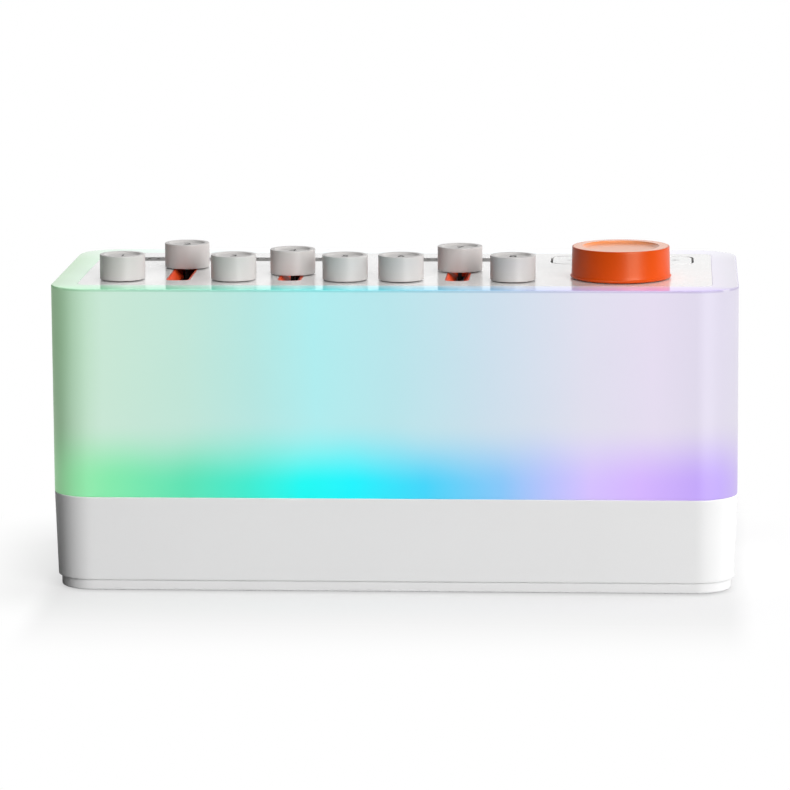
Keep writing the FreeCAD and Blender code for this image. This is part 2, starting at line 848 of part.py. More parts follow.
def make_grille(label, span):
    """A dark strip with a row of narrow crosswise holes, seated just under the plate's surface."""
    body = new_body(label)
    low = size.plate_height - size.grille_flush - size.grille_thickness
    outline = new_sketch(body, "outline", offset=low)
    seat = grille_plan(span)
    draw_outline(outline, shrink(seat, size.grille_fit))
    pad(outline, size.grille_thickness)
    first_x = seat.left + size.grille_hole_pitch
    last_x = seat.right - size.grille_hole_pitch
    middle_y = seat.front + size.grille_depth / 2
    hole = new_sketch(body, "hole", offset=low + size.grille_thickness)
    half_length = size.grille_hole_length / 2
    draw_rectangle(
        hole,
        first_x - size.grille_hole_width / 2,
        first_x + size.grille_hole_width / 2,
        middle_y - half_length,
        middle_y + half_length,
    )
    first_hole = cut(hole, size.grille_thickness)
    run = last_x - first_x
    count = int(round(run.number / size.grille_hole_pitch.number)) + 1
    row_of(hole, first_hole, "H_Axis", run, count)


def make_slot_tray():
    """One orange moulding under the plate. Its eight funnels rise through the plate's slots."""
    body = new_body("slot_tray")
    front, rear = slot_ends()
    first = tray_funnel_plan(fader_axes[0])
    last = tray_funnel_plan(fader_axes[-1])
    low = plate_underside - size.tray_thickness
    sheet_outline = new_sketch(body, "sheet", offset=low)
    draw_outline(
        sheet_outline,
        plan(
            first.left - size.tray_margin,
            last.right + size.tray_margin,
            first.front - size.tray_margin,
            first.rear + size.tray_margin,
            size.tray_margin / 2,
        ),
    )
    pad(sheet_outline, size.tray_thickness)
    funnel = new_sketch(body, "funnel", offset=plate_underside)
    draw_outline(funnel, first)
    mouth_height = size.plate_height - size.slot_flush
    fader_row(funnel, pad(funnel, mouth_height - plate_underside))
    throat_outline = slot_plan(fader_axes[0], front, rear, size.slot_throat_width)
    through = new_sketch(body, "through", offset=mouth_height)
    draw_outline(through, throat_outline)
    fader_row(through, cut(through, mouth_height - low))
    throat = new_sketch(body, "throat", offset=mouth_height - size.slot_funnel_depth)
    draw_outline(throat, throat_outline)
    mouth = new_sketch(body, "mouth", offset=mouth_height)
    draw_outline(mouth, slot_plan(fader_axes[0], front, rear, size.slot_mouth_width))
    fader_row(throat, loft(throat, mouth, subtract=True))


def fader_place(index, height):
    """Where one fader's axis stands at rest, at a height."""
    setting = FADER_SETTINGS.get(index + 1, ORIGIN)
    return fader_axes[index], fader_front_y + setting, height


def make_fader_cap(index):
    """Round cap with a raised rim and a shallow dish. Its boss grips the lever."""
    body = new_body(f"fader_cap_{index + 1}", fader_place(index, size.plate_height + size.cap_gap))
    profile = new_sketch(body, "profile", role="XZ_Plane")
    hollow_radius = size.cap_radius - size.cap_wall
    ceiling = size.cap_height - size.cap_dish_depth - size.cap_roof
    floor = size.cap_height - size.cap_dish_depth
    draw_polygon(
        profile,
        [
            (ORIGIN, size.cap_boss_gap),
            (size.cap_boss_radius, size.cap_boss_gap),
            (size.cap_boss_radius, ceiling),
            (hollow_radius, ceiling),
            (hollow_radius, ORIGIN),
            (size.cap_radius, ORIGIN),
            (size.cap_radius, size.cap_height),
            (size.cap_dish_radius, size.cap_height),
            (size.cap_dish_radius - size.cap_dish_slope, floor),
            (ORIGIN, floor),
        ],
    )
    revolve(profile)
    socket = new_sketch(body, "lever_socket", offset=ORIGIN)
    half_x = size.lever_thickness / 2 + size.lever_fit
    half_y = size.lever_width / 2 + size.lever_fit
    draw_rectangle(socket, -half_x, half_x, -half_y, half_y)
    cut(socket, size.lever_grip + size.lever_fit, against_normal=False)
    round_edges(body, size.cap_edge_round, lambda edge: edge_across(edge, size.cap_radius))


def make_fader_lever(index):
    """Steel lever on its carriage, which slides in the potentiometer and carries the wiper."""
    pot_floor = board_top + size.pot_wall
    carriage_low = pot_floor + size.carriage_play
    carriage_height = size.pot_height - 2 * size.pot_wall - 2 * size.carriage_play
    body = new_body(f"fader_lever_{index + 1}", fader_place(index, carriage_low))
    carriage = new_sketch(body, "carriage")
    half_across = size.pot_width / 2 - size.pot_wall - size.carriage_play
    half_along = size.carriage_length / 2
    draw_rectangle(carriage, -half_across, half_across, -half_along, half_along)
    pad(carriage, carriage_height)
    lever = new_sketch(body, "lever")
    half_x = size.lever_thickness / 2
    half_y = size.lever_width / 2
    draw_rectangle(lever, -half_x, half_x, -half_y, half_y)
    pad(lever, size.plate_height + size.cap_gap + size.lever_grip - carriage_low)


def make_fader_pot(index):
    """Steel housing of a slide potentiometer, with a slot on top for the lever."""
    body = new_body(f"fader_pot_{index + 1}", (fader_axes[index], pot_middle_y, board_top))
    half_length = size.pot_length / 2
    half_width_of_pot = size.pot_width / 2
    case = new_sketch(body, "case")
    draw_rectangle(case, -half_width_of_pot, half_width_of_pot, -half_length, half_length)
    pad(case, size.pot_height)
    slot_half_length = size.fader_travel / 2 + size.lever_width / 2 + size.pot_slot_room
    slot = new_sketch(body, "lever_slot", offset=size.pot_height)
    half_slot = size.pot_slot_width / 2
    draw_rectangle(slot, -half_slot, half_slot, -slot_half_length, slot_half_length)
    cut(slot, size.pot_height - size.pot_wall)
    end_wall = half_length - size.pot_wall
    track = new_sketch(body, "track", role="XZ_Plane", offset=end_wall)
    half_inside = half_width_of_pot - size.pot_wall
    draw_rectangle(track, -half_inside, half_inside, size.pot_wall, size.pot_height - size.pot_wall)
    cut(track, 2 * end_wall)


def make_dial():
    """Large dial: tapered side, small flared foot, dished top, hollow under its roof."""
    body = new_body("dial", (dial_x, dial_y, size.plate_height + size.dial_gap))
    profile = new_sketch(body, "profile", role="XZ_Plane")
    inner = size.dial_top_radius - size.dial_wall
    ceiling = size.dial_height - size.dial_dish_depth - size.dial_roof
    floor = size.dial_height - size.dial_dish_depth
    draw_polygon(
        profile,
        [
            (ORIGIN, size.dial_hub_gap),
            (size.dial_hub_radius, size.dial_hub_gap),
            (size.dial_hub_radius, ceiling),
            (inner, ceiling),
            (inner, ORIGIN),
            (size.dial_foot_radius, ORIGIN),
            (size.dial_foot_radius, size.dial_foot_height),
            (size.dial_side_radius, size.dial_foot_height + size.dial_foot_flare),
            (size.dial_top_radius, size.dial_height),
            (size.dial_dish_radius, size.dial_height),
            (size.dial_dish_radius - size.dial_dish_slope, floor),
            (ORIGIN, floor),
        ],
    )
    revolve(profile)
    bore = new_sketch(body, "shaft_bore")
    draw_circle(bore, ORIGIN, ORIGIN, size.shaft_radius + size.shaft_press_fit)
    cut(bore, size.shaft_grip + size.shaft_press_fit, against_normal=False)
    round_edges(body, size.dial_edge_round, lambda edge: edge_across(edge, size.dial_top_radius))


def make_encoder_body():
    """Rotary encoder on the control board: square case and round bushing with a running bore."""
    body = new_body("encoder_body", (dial_x, dial_y, board_top))
    case = new_sketch(body, "case")
    half = size.encoder_side / 2
    draw_rectangle(case, -half, half, -half, half)
    pad(case, size.encoder_height)
    bushing = new_sketch(body, "bushing", offset=size.encoder_height)
    draw_circle(bushing, ORIGIN, ORIGIN, size.bushing_radius)
    pad(bushing, size.bushing_height)
    top = size.encoder_height + size.bushing_height
    bore = new_sketch(body, "bore", offset=top)
    draw_circle(bore, ORIGIN, ORIGIN, size.shaft_radius + size.shaft_running_fit)
    cut(bore, top - size.shaft_floor)


def make_encoder_shaft():
    """Round shaft that turns in the encoder and carries the dial."""
    low = board_top + size.shaft_floor + size.shaft_running_fit
    body = new_body("encoder_shaft", (dial_x, dial_y, low))
    outline = new_sketch(body, "outline")
    draw_circle(outline, ORIGIN, ORIGIN, size.shaft_radius)
    pad(outline, size.plate_height + size.dial_gap + size.shaft_grip - low)


def key_skirt_plan():
    """Outside of the key's skirt, about the key's own centre."""
    face = centred(ORIGIN, ORIGIN, size.key_width, size.key_depth, size.key_corner_radius)
    return shrink(face, size.key_skirt_inset)


def make_rocker_key():
    """Flush key that rocks left and right on a pin, with one leg over each switch."""
    body = new_body("rocker_key", (dial_x, key_y, ORIGIN))
    key_low = size.plate_height - size.key_thickness
    face = new_sketch(body, "face", offset=key_low)
    draw_outline(face, centred(ORIGIN, ORIGIN, size.key_width, size.key_depth, size.key_corner_radius))
    pad(face, size.key_thickness)
    round_edges(body, size.key_edge_round, lambda edge: edge_at_height(edge, size.plate_height))
    skirt = new_sketch(body, "skirt", offset=key_low - size.key_skirt_depth)
    ring(skirt, key_skirt_plan(), size.key_skirt_wall)
    pad(skirt, size.key_skirt_depth)
    boss_low = key_low - size.key_boss_depth
    boss = new_sketch(body, "pivot_boss", offset=boss_low)
    half_across = size.key_boss_width / 2
    half_deep = key_skirt_plan().rear - size.key_skirt_wall / 2
    draw_rectangle(boss, -half_across, half_across, -half_deep, half_deep)
    pad(boss, size.key_boss_depth)
    leg_low = board_top + size.switch_height + size.key_leg_gap
    legs = new_sketch(body, "legs", offset=leg_low)
    for side in (-1, 1):
        draw_circle(legs, size.key_leg_spread * side, ORIGIN, size.key_leg_radius)
    pad(legs, key_low - leg_low)
    bore = new_sketch(body, "pin_bore", role="XZ_Plane", offset=size.key_depth / 2)
    pivot_height = size.plate_height - size.key_pivot_drop
    draw_circle(bore, ORIGIN, pivot_height, size.pin_radius + size.pin_running_fit)
    cut(bore, size.key_depth)


def cradle_room_plan():
    """The opening in the cradle, clear of the key's skirt."""
    return shrink(key_skirt_plan(), -size.cradle_room)


def make_key_cradle():
    """Black frame under the plate. It backs the line round the key and holds the pin in two ears."""
    body = new_body("key_cradle", (dial_x, key_y, ORIGIN))
    low = plate_underside - size.cradle_thickness
    frame_plan = shrink(cradle_room_plan(), -size.cradle_rim)
    frame = new_sketch(body, "frame", offset=low)
    draw_outline(frame, frame_plan)
    draw_outline(frame, cradle_room_plan())
    pad(frame, size.cradle_thickness)
    pivot_height = size.plate_height - size.key_pivot_drop
    ear_low = pivot_height - size.pin_radius - size.ear_below_pin
    ears = new_sketch(body, "ears", offset=ear_low)
    near = cradle_room_plan().rear
    for side in (-1, 1):
        inner = near * side
        outer = (near + size.ear_thickness) * side
        low_y, high_y = (inner, outer) if side > 0 else (outer, inner)
        draw_rectangle(ears, -size.ear_width / 2, size.ear_width / 2, low_y, high_y)
    pad(ears, low - ear_low)
    bore = new_sketch(body, "pin_bore", role="XZ_Plane", offset=size.key_depth)
    draw_circle(bore, ORIGIN, pivot_height, size.pin_radius + size.pin_press_fit)
    cut(bore, 2 * size.key_depth)


def make_key_pin():
    """Steel pin through the cradle's ears and the key's boss."""
    reach = cradle_room_plan().rear + size.ear_thickness
    body = new_body("key_pin", (dial_x, key_y, size.plate_height - size.key_pivot_drop))
    outline = new_sketch(body, "outline", role="XZ_Plane", offset=-reach)
    draw_circle(outline, ORIGIN, ORIGIN, size.pin_radius)
    pad(outline, 2 * reach)


def make_key_switches():
    """Two small push switches, one under each leg of the key."""
    body = new_body("key_switches", (dial_x, key_y, board_top))
    cases = new_sketch(body, "cases")
    half = size.switch_side / 2
    for side in (-1, 1):
        middle = size.key_leg_spread * side
        draw_rectangle(cases, middle - half, middle + half, -half, half)
    pad(cases, size.switch_case_height)
    plungers = new_sketch(body, "plungers", offset=size.switch_case_height)
    for side in (-1, 1):
        draw_circle(plungers, size.key_leg_spread * side, ORIGIN, size.switch_plunger_radius)
    pad(plungers, size.switch_height - size.switch_case_height)


def make_control_board():
    """Board that carries faders, encoder and key switches. A tab reaches back under the key."""
    body = new_body("control_board")
    left = fader_axes[0] - size.pot_width / 2 - size.board_margin
    right = light_room_plan.right - size.board_right_gap
    tab_left = dial_x - size.board_tab_left_reach
    tab_rear = key_y + size.board_tab_rear_reach
    outline = new_sketch(body, "outline", offset=board_underside)
    draw_polygon(
        outline,
        [
            (left, board_front),
            (right, board_front),
            (right, tab_rear),
            (tab_left, tab_rear),
            (tab_left, board_rear),
            (left, board_rear),
        ],
    )
    pad(outline, size.board_thickness)
    holes = new_sketch(body, "screw_holes", offset=board_top)
    for x, y in board_posts:
        draw_circle(holes, x, y, small_pass_radius)
    cut(holes, size.board_thickness)


def make_inner_core():
    """White inner box. Outside it spreads the light, inside it is the loudspeaker's chamber."""
    body = new_body("inner_core")
    outline = new_sketch(body, "outline", offset=size.seam_height)
    draw_outline(outline, core_plan)
    height = core_top - size.seam_height
    pad(outline, height)
    chamber = new_sketch(body, "chamber", offset=size.seam_height)
    draw_outline(chamber, shrink(core_plan, size.core_wall))
    cut(chamber, height - size.core_roof, against_normal=False)
    bosses = new_sketch(body, "deck_bosses", offset=size.seam_height)
    for x, y in core_screw_places:
        draw_circle(bosses, x, y, size.core_boss_radius)
    pad(bosses, size.core_boss_height)
    pilots = new_sketch(body, "deck_pilots", offset=size.seam_height)
    for x, y in core_screw_places:
        draw_circle(pilots, x, y, pilot_radius)
    cut(pilots, size.screw_length - size.deck_thickness, against_normal=False)
    posts = new_sketch(body, "board_posts", offset=core_top)
    for x, y in board_posts:
        draw_circle(posts, x, y, size.post_radius)
    pad(posts, board_underside - core_top)
    post_pilots = new_sketch(body, "post_pilots", offset=board_underside)
    for x, y in board_posts:
        draw_circle(post_pilots, x, y, small_pilot_radius)
    cut(post_pilots, size.small_screw_length)
    openings = new_sketch(body, "roof_openings", offset=core_top)
    cutout = size.speaker_basket_radius + size.speaker_cutout_room
    draw_circle(openings, size.speaker_x, size.speaker_y, cutout)
    for x, y in speaker_screw_places:
        draw_circle(openings, x, y, small_pilot_radius)
    draw_ribbon_slot(openings)
    cut(openings, size.core_roof)


def make_speaker_frame():
    """Pressed basket: a flange on the core's roof and a funnel down to the magnet."""
    body = new_body("speaker_frame", (size.speaker_x, size.speaker_y, core_top))
    profile = new_sketch(body, "profile", role="XZ_Plane")
    sheet_metal = size.speaker_sheet
    inside = size.speaker_basket_radius - sheet_metal
    low_inside = size.speaker_basket_low_radius - sheet_metal
    draw_polygon(
        profile,
        [
            (size.cone_neck_radius, -size.speaker_basket_depth),
            (size.speaker_basket_low_radius, -size.speaker_basket_depth),
            (size.speaker_basket_radius, ORIGIN),
            (size.speaker_flange_radius, ORIGIN),
            (size.speaker_flange_radius, size.speaker_flange_thickness),
            (inside, size.speaker_flange_thickness),
            (low_inside, sheet_metal - size.speaker_basket_depth),
            (size.cone_neck_radius, sheet_metal - size.speaker_basket_depth),
        ],
    )
    revolve(profile)
    holes = new_sketch(body, "screw_holes", offset=size.speaker_flange_thickness)
    for sx in (-1, 1):
        for sy in (-1, 1):
            draw_circle(holes, diagonal * sx, diagonal * sy, small_pass_radius)
    cut(holes, size.speaker_flange_thickness)


def make_speaker_cone():
    """Paper cone with its soft surround and dust cap, glued to the top of the flange."""
    seat = core_top + size.speaker_flange_thickness
    body = new_body("speaker_cone", (size.speaker_x, size.speaker_y, seat))
    profile = new_sketch(body, "profile", role="XZ_Plane")
    sheet_paper = size.cone_sheet
    outer = size.cone_radius + size.surround_width
    cap_low = -size.cone_depth + size.dust_cap_rise
    draw_polygon(
        profile,
        [
            (ORIGIN, cap_low),
            (size.cone_neck_radius, -size.cone_depth),
            (size.cone_radius, ORIGIN),
            (outer, ORIGIN),
            (outer, sheet_paper),
            (size.cone_radius - sheet_paper, sheet_paper),
            (size.cone_neck_radius, sheet_paper - size.cone_depth),
            (ORIGIN, cap_low + sheet_paper),
        ],
    )
    revolve(profile)


def make_speaker_magnet():
    """Magnet pot under the basket."""
    low = core_top - size.speaker_basket_depth - size.magnet_height
    body = new_body("speaker_magnet", (size.speaker_x, size.speaker_y, low))
    outline = new_sketch(body, "outline")
    draw_circle(outline, ORIGIN, ORIGIN, size.magnet_radius)
    pad(outline, size.magnet_height)


def make_light_strip():
    """Flat ring-shaped board on the deck, between the shell and the core."""
    body = new_body("light_strip")
    outline = new_sketch(body, "outline", offset=size.seam_height)
    outer = shrink(light_room_plan, size.strip_offset)
    inner = shrink(outer, size.strip_width)
    inner.radius = size.strip_inner_radius
    draw_outline(outline, outer)
    draw_outline(outline, inner)
    pad(outline, size.strip_thickness)


def make_light_leds():
    """Square light sources along all four sides of the strip."""
    body = new_body("light_leds")
    base = size.seam_height + size.strip_thickness
    middle = size.strip_offset + size.strip_width / 2
    row_y = light_room_plan.front + middle
    column_x = light_room_plan.left + middle
    half = size.led_side / 2
    long_half = int(core_plan.right.number // size.led_pitch.number)
    short_half = int(core_plan.rear.number // (2 * size.led_pitch.number))
    row_start = size.led_pitch * -long_half
    first_row = new_sketch(body, "row_led", offset=base)
    for side in (-1, 1):
        y = row_y * -side
        draw_rectangle(first_row, row_start - half, row_start + half, y - half, y + half)
    row_led = pad(first_row, size.led_height)
    row_of(first_row, row_led, "H_Axis", size.led_pitch * (2 * long_half), 2 * long_half + 1)
    column_start = size.led_pitch * -short_half
    first_column = new_sketch(body, "column_led", offset=base)
    for side in (-1, 1):
        x = column_x * -side
        draw_rectangle(first_column, x - half, x + half, column_start - half, column_start + half)
    column_led = pad(first_column, size.led_height)
    row_of(first_column, column_led, "V_Axis", size.led_pitch * (2 * short_half), 2 * short_half + 1)


def make_main_board():
    """Board in the base with amplifier, processor and power socket."""
    body = new_body("main_board")
    outline = new_sketch(body, "outline", offset=main_board_underside)
    draw_outline(outline, main_board_plan)
    pad(outline, size.board_thickness)
    holes = new_sketch(body, "screw_holes", offset=main_board_top)
    for x, y in standoff_places:
        draw_circle(holes, x, y, small_pass_radius)
    cut(holes, size.board_thickness)


def make_main_board_parts():
    """Processor, amplifier and choke as square packages, with two tall capacitors."""
    body = new_body("main_board_parts")
    packages = new_sketch(body, "packages", offset=main_board_top)
    for x, y, side in (
        (size.processor_x, size.processor_y, size.processor_side),
        (size.amplifier_x, size.amplifier_y, size.amplifier_side),
    ):
        draw_rectangle(packages, x - side / 2, x + side / 2, y - side / 2, y + side / 2)
    pad(packages, size.package_height)
    choke = new_sketch(body, "choke", offset=main_board_top)
    choke_side = size.choke_side
    draw_outline(choke, centred(size.choke_x, size.choke_y, choke_side, choke_side, size.choke_round))
    pad(choke, size.choke_height)
    capacitors = new_sketch(body, "capacitors", offset=main_board_top)
    for side in (-1, 1):
        x = size.capacitor_x + size.capacitor_spacing / 2 * side
        draw_circle(capacitors, x, size.capacitor_y, size.capacitor_radius)
    pad(capacitors, size.capacitor_height)


def make_power_socket():
    """Round-ended power socket on the main board's rear edge, its mouth in the rear wall."""
    body = new_body("power_socket")
    mouth_y = base_cavity_plan.rear + size.base_wall - size.inlet_recess
    shell = new_sketch(body, "shell", role="XZ_Plane", offset=-mouth_y)
    draw_inlet_outline(shell, ORIGIN)
    pad(shell, size.inlet_length)
    mouth = new_sketch(body, "mouth", role="XZ_Plane", offset=-mouth_y)
    draw_inlet_outline(mouth, -size.inlet_shell)
    cut(mouth, size.inlet_length - size.inlet_shell * 2, against_normal=False)
    middle = main_board_top + size.inlet_height / 2
    tongue_length = size.inlet_length - size.inlet_shell - size.inlet_tongue_inset
    tongue = new_sketch(body, "tongue", role="XZ_Plane", offset=size.inlet_tongue_inset - mouth_y)
    half_across = size.inlet_width / 2 - size.inlet_tongue_inset
    half_up = size.inlet_tongue_height / 2
    draw_rectangle(tongue, -half_across, half_across, middle - half_up, middle + half_up)
    pad(tongue, tongue_length)


def make_ribbon_cable():
    """Flat cable held upright between the two boards' connectors."""
    low = main_board_top + size.plug_height
    body = new_body("ribbon_cable", (size.ribbon_x, size.ribbon_y, low))
    outline = new_sketch(body, "outline")
    half_across = size.ribbon_width / 2
    half_thick = size.ribbon_thickness / 2
    draw_rectangle(outline, -half_across, half_across, -half_thick, half_thick)
    pad(outline, board_underside - size.plug_height - low)


def make_ribbon_plugs():
    """The connector on each board that the ribbon ends in."""
    body = new_body("ribbon_plugs", (size.ribbon_x, size.ribbon_y, ORIGIN))
    half_across = size.plug_width / 2
    half_deep = size.plug_depth / 2
    for name, low in (("lower", main_board_top), ("upper", board_underside - size.plug_height)):
        outline = new_sketch(body, name, offset=low)
        draw_rectangle(outline, -half_across, half_across, -half_deep, half_deep)
        pad(outline, size.plug_height)


def check_model():
    """Stops on any failed feature, any cut that removed nothing and any bad piece."""
    for item in doc.Objects:
        if "Invalid" in item.State or "Error" in item.State:
            raise RuntimeError(f"{item.Label}: {item.State}")
        if item.TypeId in ("PartDesign::Pocket", "PartDesign::SubtractiveLoft"):
            before = item.BaseFeature.Shape.Volume
            if item.Shape.Volume > before - TINY:
                raise RuntimeError(f"{item.Label} cuts nothing")
    for piece in pieces:
        if piece.Shape.isNull() or not piece.Shape.isValid():
            raise RuntimeError(f"{piece.Label} is not a valid shape")
        if not re.fullmatch(r"\w{1,59}", piece.Label):
            raise RuntimeError(f"{piece.Label} is not a plain name")


make_base_shell()
make_bottom_cover()
make_foot_pads()
screws("cover_screws", cover_screw_places, size.foot_drop + size.screw_pass, points_up=True, large=True)
make_diffuser_shell()
make_top_plate()
for grille_name, grille_span in GRILLE_SPANS.items():
    make_grille(grille_name, grille_span)
make_slot_tray()
for fader_index in range(FADER_COUNT):
    make_fader_cap(fader_index)
    make_fader_lever(fader_index)
    make_fader_pot(fader_index)
make_dial()
make_encoder_body()
make_encoder_shaft()
make_rocker_key()
make_key_cradle()
make_key_pin()
make_key_switches()
make_control_board()
screws("board_screws", board_posts, board_top, points_up=False, large=False)
make_inner_core()
screws("core_screws", core_screw_places, deck_underside - size.screw_head_height, points_up=True, large=True)
make_speaker_frame()
make_speaker_cone()
make_speaker_magnet()
speaker_seat = core_top + size.speaker_flange_thickness
screws("speaker_screws", speaker_screw_places, speaker_seat, points_up=False, large=False)
make_light_strip()
make_light_leds()
make_main_board()
make_main_board_parts()
screws("main_board_screws", standoff_places, main_board_top, points_up=False, large=False)
make_power_socket()
make_ribbon_cable()
make_ribbon_plugs()

doc.recompute()
check_model()
os.makedirs("parts", exist_ok=True)
for piece in pieces:
    piece.Shape.exportStep(os.path.join("parts", f"{piece.Label}.step"))
    box = piece.Shape.BoundBox
    print(
        f"{piece.Label}: {len(piece.Shape.Solids)} solid(s), {piece.Shape.Volume:.1f} mm3,"
        f" x {box.XMin:.1f} to {box.XMax:.1f}, y {box.YMin:.1f} to {box.YMax:.1f},"
        f" z {box.ZMin:.1f} to {box.ZMax:.1f}"
    )
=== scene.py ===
import json
import math
from dataclasses import dataclass

import bpy
import numpy as np
from mathutils import Matrix, Vector


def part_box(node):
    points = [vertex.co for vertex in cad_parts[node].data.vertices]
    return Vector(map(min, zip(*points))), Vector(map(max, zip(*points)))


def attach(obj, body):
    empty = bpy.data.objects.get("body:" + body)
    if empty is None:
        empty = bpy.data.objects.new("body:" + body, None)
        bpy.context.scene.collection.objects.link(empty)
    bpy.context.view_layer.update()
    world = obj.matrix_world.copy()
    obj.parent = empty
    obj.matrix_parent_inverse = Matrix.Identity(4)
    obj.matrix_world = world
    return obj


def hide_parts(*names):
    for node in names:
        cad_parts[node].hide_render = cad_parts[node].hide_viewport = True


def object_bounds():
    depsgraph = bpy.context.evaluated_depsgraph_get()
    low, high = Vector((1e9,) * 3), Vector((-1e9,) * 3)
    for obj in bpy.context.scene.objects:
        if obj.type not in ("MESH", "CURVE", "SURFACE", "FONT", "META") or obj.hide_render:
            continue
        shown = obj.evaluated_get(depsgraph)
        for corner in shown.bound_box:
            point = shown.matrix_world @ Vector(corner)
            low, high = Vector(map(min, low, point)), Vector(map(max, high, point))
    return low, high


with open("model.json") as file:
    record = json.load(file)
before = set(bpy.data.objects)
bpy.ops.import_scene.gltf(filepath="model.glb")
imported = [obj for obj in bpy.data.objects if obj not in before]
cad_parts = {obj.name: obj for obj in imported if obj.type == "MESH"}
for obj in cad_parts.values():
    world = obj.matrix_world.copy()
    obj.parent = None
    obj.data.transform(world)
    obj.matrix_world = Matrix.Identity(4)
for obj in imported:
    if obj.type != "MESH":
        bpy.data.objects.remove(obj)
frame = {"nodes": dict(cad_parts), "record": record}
cad_low, cad_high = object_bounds()
nodes = frame["nodes"]

# Looks of a white noise sound machine: white base, glowing milky diffuser, matt top plate with
# eight slide faders, an orange dial, a rocker key and two sound grilles.
# Lengths in the surfaces below are millimetres, in the frame of the construction.

MM = 0.001
FADER_COUNT = 8


def shade(red, green, blue):
    """A colour as a screen shows it, 0 to 255 each, as linear values with full opacity."""
    values = np.array([red, green, blue]) / 255
    linear = np.where(values <= 0.04045, values / 12.92, ((values + 0.055) / 1.055) ** 2.4)
    return (*linear.tolist(), 1.0)


# Surfaces


@dataclass
class Plan:
    """A rounded rectangle seen from above."""

    left: float
    right: float
    front: float
    rear: float
    radius: float

    def inset(self, by):
        """The same outline moved in by a distance all round."""
        return Plan(self.left + by, self.right - by, self.front + by, self.rear - by, self.radius - by)

    def ring(self, height, corner_steps=14, side_steps=6):
        """Points anticlockwise round the outline at a height. Each corner is a quarter circle,
        centre + radius * (cos angle, sin angle), and each side runs straight to the next corner."""
        quarter = np.linspace(0, np.pi / 2, corner_steps + 1)
        r = self.radius
        centres = np.array(
            [
                (self.left + r, self.front + r),
                (self.right - r, self.front + r),
                (self.right - r, self.rear - r),
                (self.left + r, self.rear - r),
            ]
        )
        angles = np.array([np.pi, 1.5 * np.pi, 0, 0.5 * np.pi])[:, None] + quarter
        arcs = centres[:, None] + r * np.stack([np.cos(angles), np.sin(angles)], -1)
        share = (np.arange(1, side_steps) / side_steps)[None, :, None]
        following = np.roll(arcs[:, :1], -1, axis=0)
        sides = arcs[:, -1:] * (1 - share) + following * share
        flat = np.concatenate([arcs, sides], 1).reshape(-1, 2)
        return np.column_stack([flat, np.full(len(flat), height)])


def plan_of(node, radius):
    """The outline of a node's own box."""
    low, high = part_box(node)
    return Plan(low.x / MM, high.x / MM, low.y / MM, high.y / MM, radius)


def centre_of(node):
    """The middle of a node in plan, and its lowest height."""
    low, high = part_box(node)
    return (low.x + high.x) / 2 / MM, (low.y + high.y) / 2 / MM, low.z / MM


def bend(across, up, radius, start, end, steps=4):
    """Points of a small arc in a section, (across + r cos a, up + r sin a), angles in degrees."""
    angle = np.radians(np.linspace(start, end, steps + 1))
    return np.column_stack([across + radius * np.cos(angle), up + radius * np.sin(angle)])


def turned(section, x, y, turns=96):
    """Rings of a section (radius, height) turned about an upright axis:
    (x + radius * cos angle, y + radius * sin angle, height)."""
    angle = np.linspace(0, 2 * np.pi, turns, endpoint=False)
    radius, height = np.asarray(section, float).T
    across = x + radius[:, None] * np.cos(angle)
    along = y + radius[:, None] * np.sin(angle)
    return np.stack([across, along, np.repeat(height[:, None], turns, 1)], -1)


def closed_skin(rings, joined=False):
    """Points and faces of a skin through rings. A joined skin runs from the last ring back to
    the first, as round a frame. Otherwise a flat face closes each end."""
    rings = np.asarray(rings)
    rows, columns = rings.shape[:2]
    row, column = np.meshgrid(np.arange(rows if joined else rows - 1), np.arange(columns), indexing="ij")
    above = (row + 1) % rows
    beside = (column + 1) % columns
    corners = [
        row * columns + column,
        row * columns + beside,
        above * columns + beside,
        above * columns + column,
    ]
    faces = np.stack(corners, -1).reshape(-1, 4).tolist()
    if not joined:
        faces.append(list(range(columns))[::-1])
        faces.append(list(range((rows - 1) * columns, rows * columns)))
    return rings.reshape(-1, 3), faces


def one_mesh(name, skins, sharp=38):
    """Joins closed skins into one mesh, smooth except along sharp edges."""
    points, faces, first = [], [], 0
    for part_points, part_faces in skins:
        points.append(part_points)
        faces += [[first + corner for corner in face] for face in part_faces]
        first += len(part_points)
    mesh = bpy.data.meshes.new(name)
    mesh.from_pydata((np.concatenate(points) * MM).tolist(), [], faces)
    mesh.polygons.foreach_set("use_smooth", np.ones(len(mesh.polygons), bool))
    mesh.set_sharp_from_angle(angle=math.radians(sharp))
    return mesh


def show(name, mesh):
    """Puts a mesh into the scene at the origin."""
    piece = bpy.data.objects.new(name, mesh)
    bpy.context.scene.collection.objects.link(piece)
    return piece


def without(piece, tools):
    """Cuts closed tools out of a piece and keeps only the result."""
    cutter = show("cutter", one_mesh("cutter", tools))
    difference = piece.modifiers.new("holes", "BOOLEAN")
    difference.object = cutter
    difference.solver = "EXACT"
    drawn = piece.evaluated_get(bpy.context.evaluated_depsgraph_get())
    result = bpy.data.meshes.new_from_object(drawn)
    piece.modifiers.clear()
    piece.data = result
    result.name = piece.name
    result.set_sharp_from_angle(angle=math.radians(38))
    bpy.data.objects.remove(cutter)
    return piece


def fit(piece, body, material, slot, *stands_for):
    """Gives a finished piece its material, its body and the nodes that it stands for."""
    piece.data.materials.clear()
    piece.data.materials.append(material)
    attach(piece, body)
    if stands_for:
        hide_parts(*stands_for)
    return piece


# Shared effects of the materials


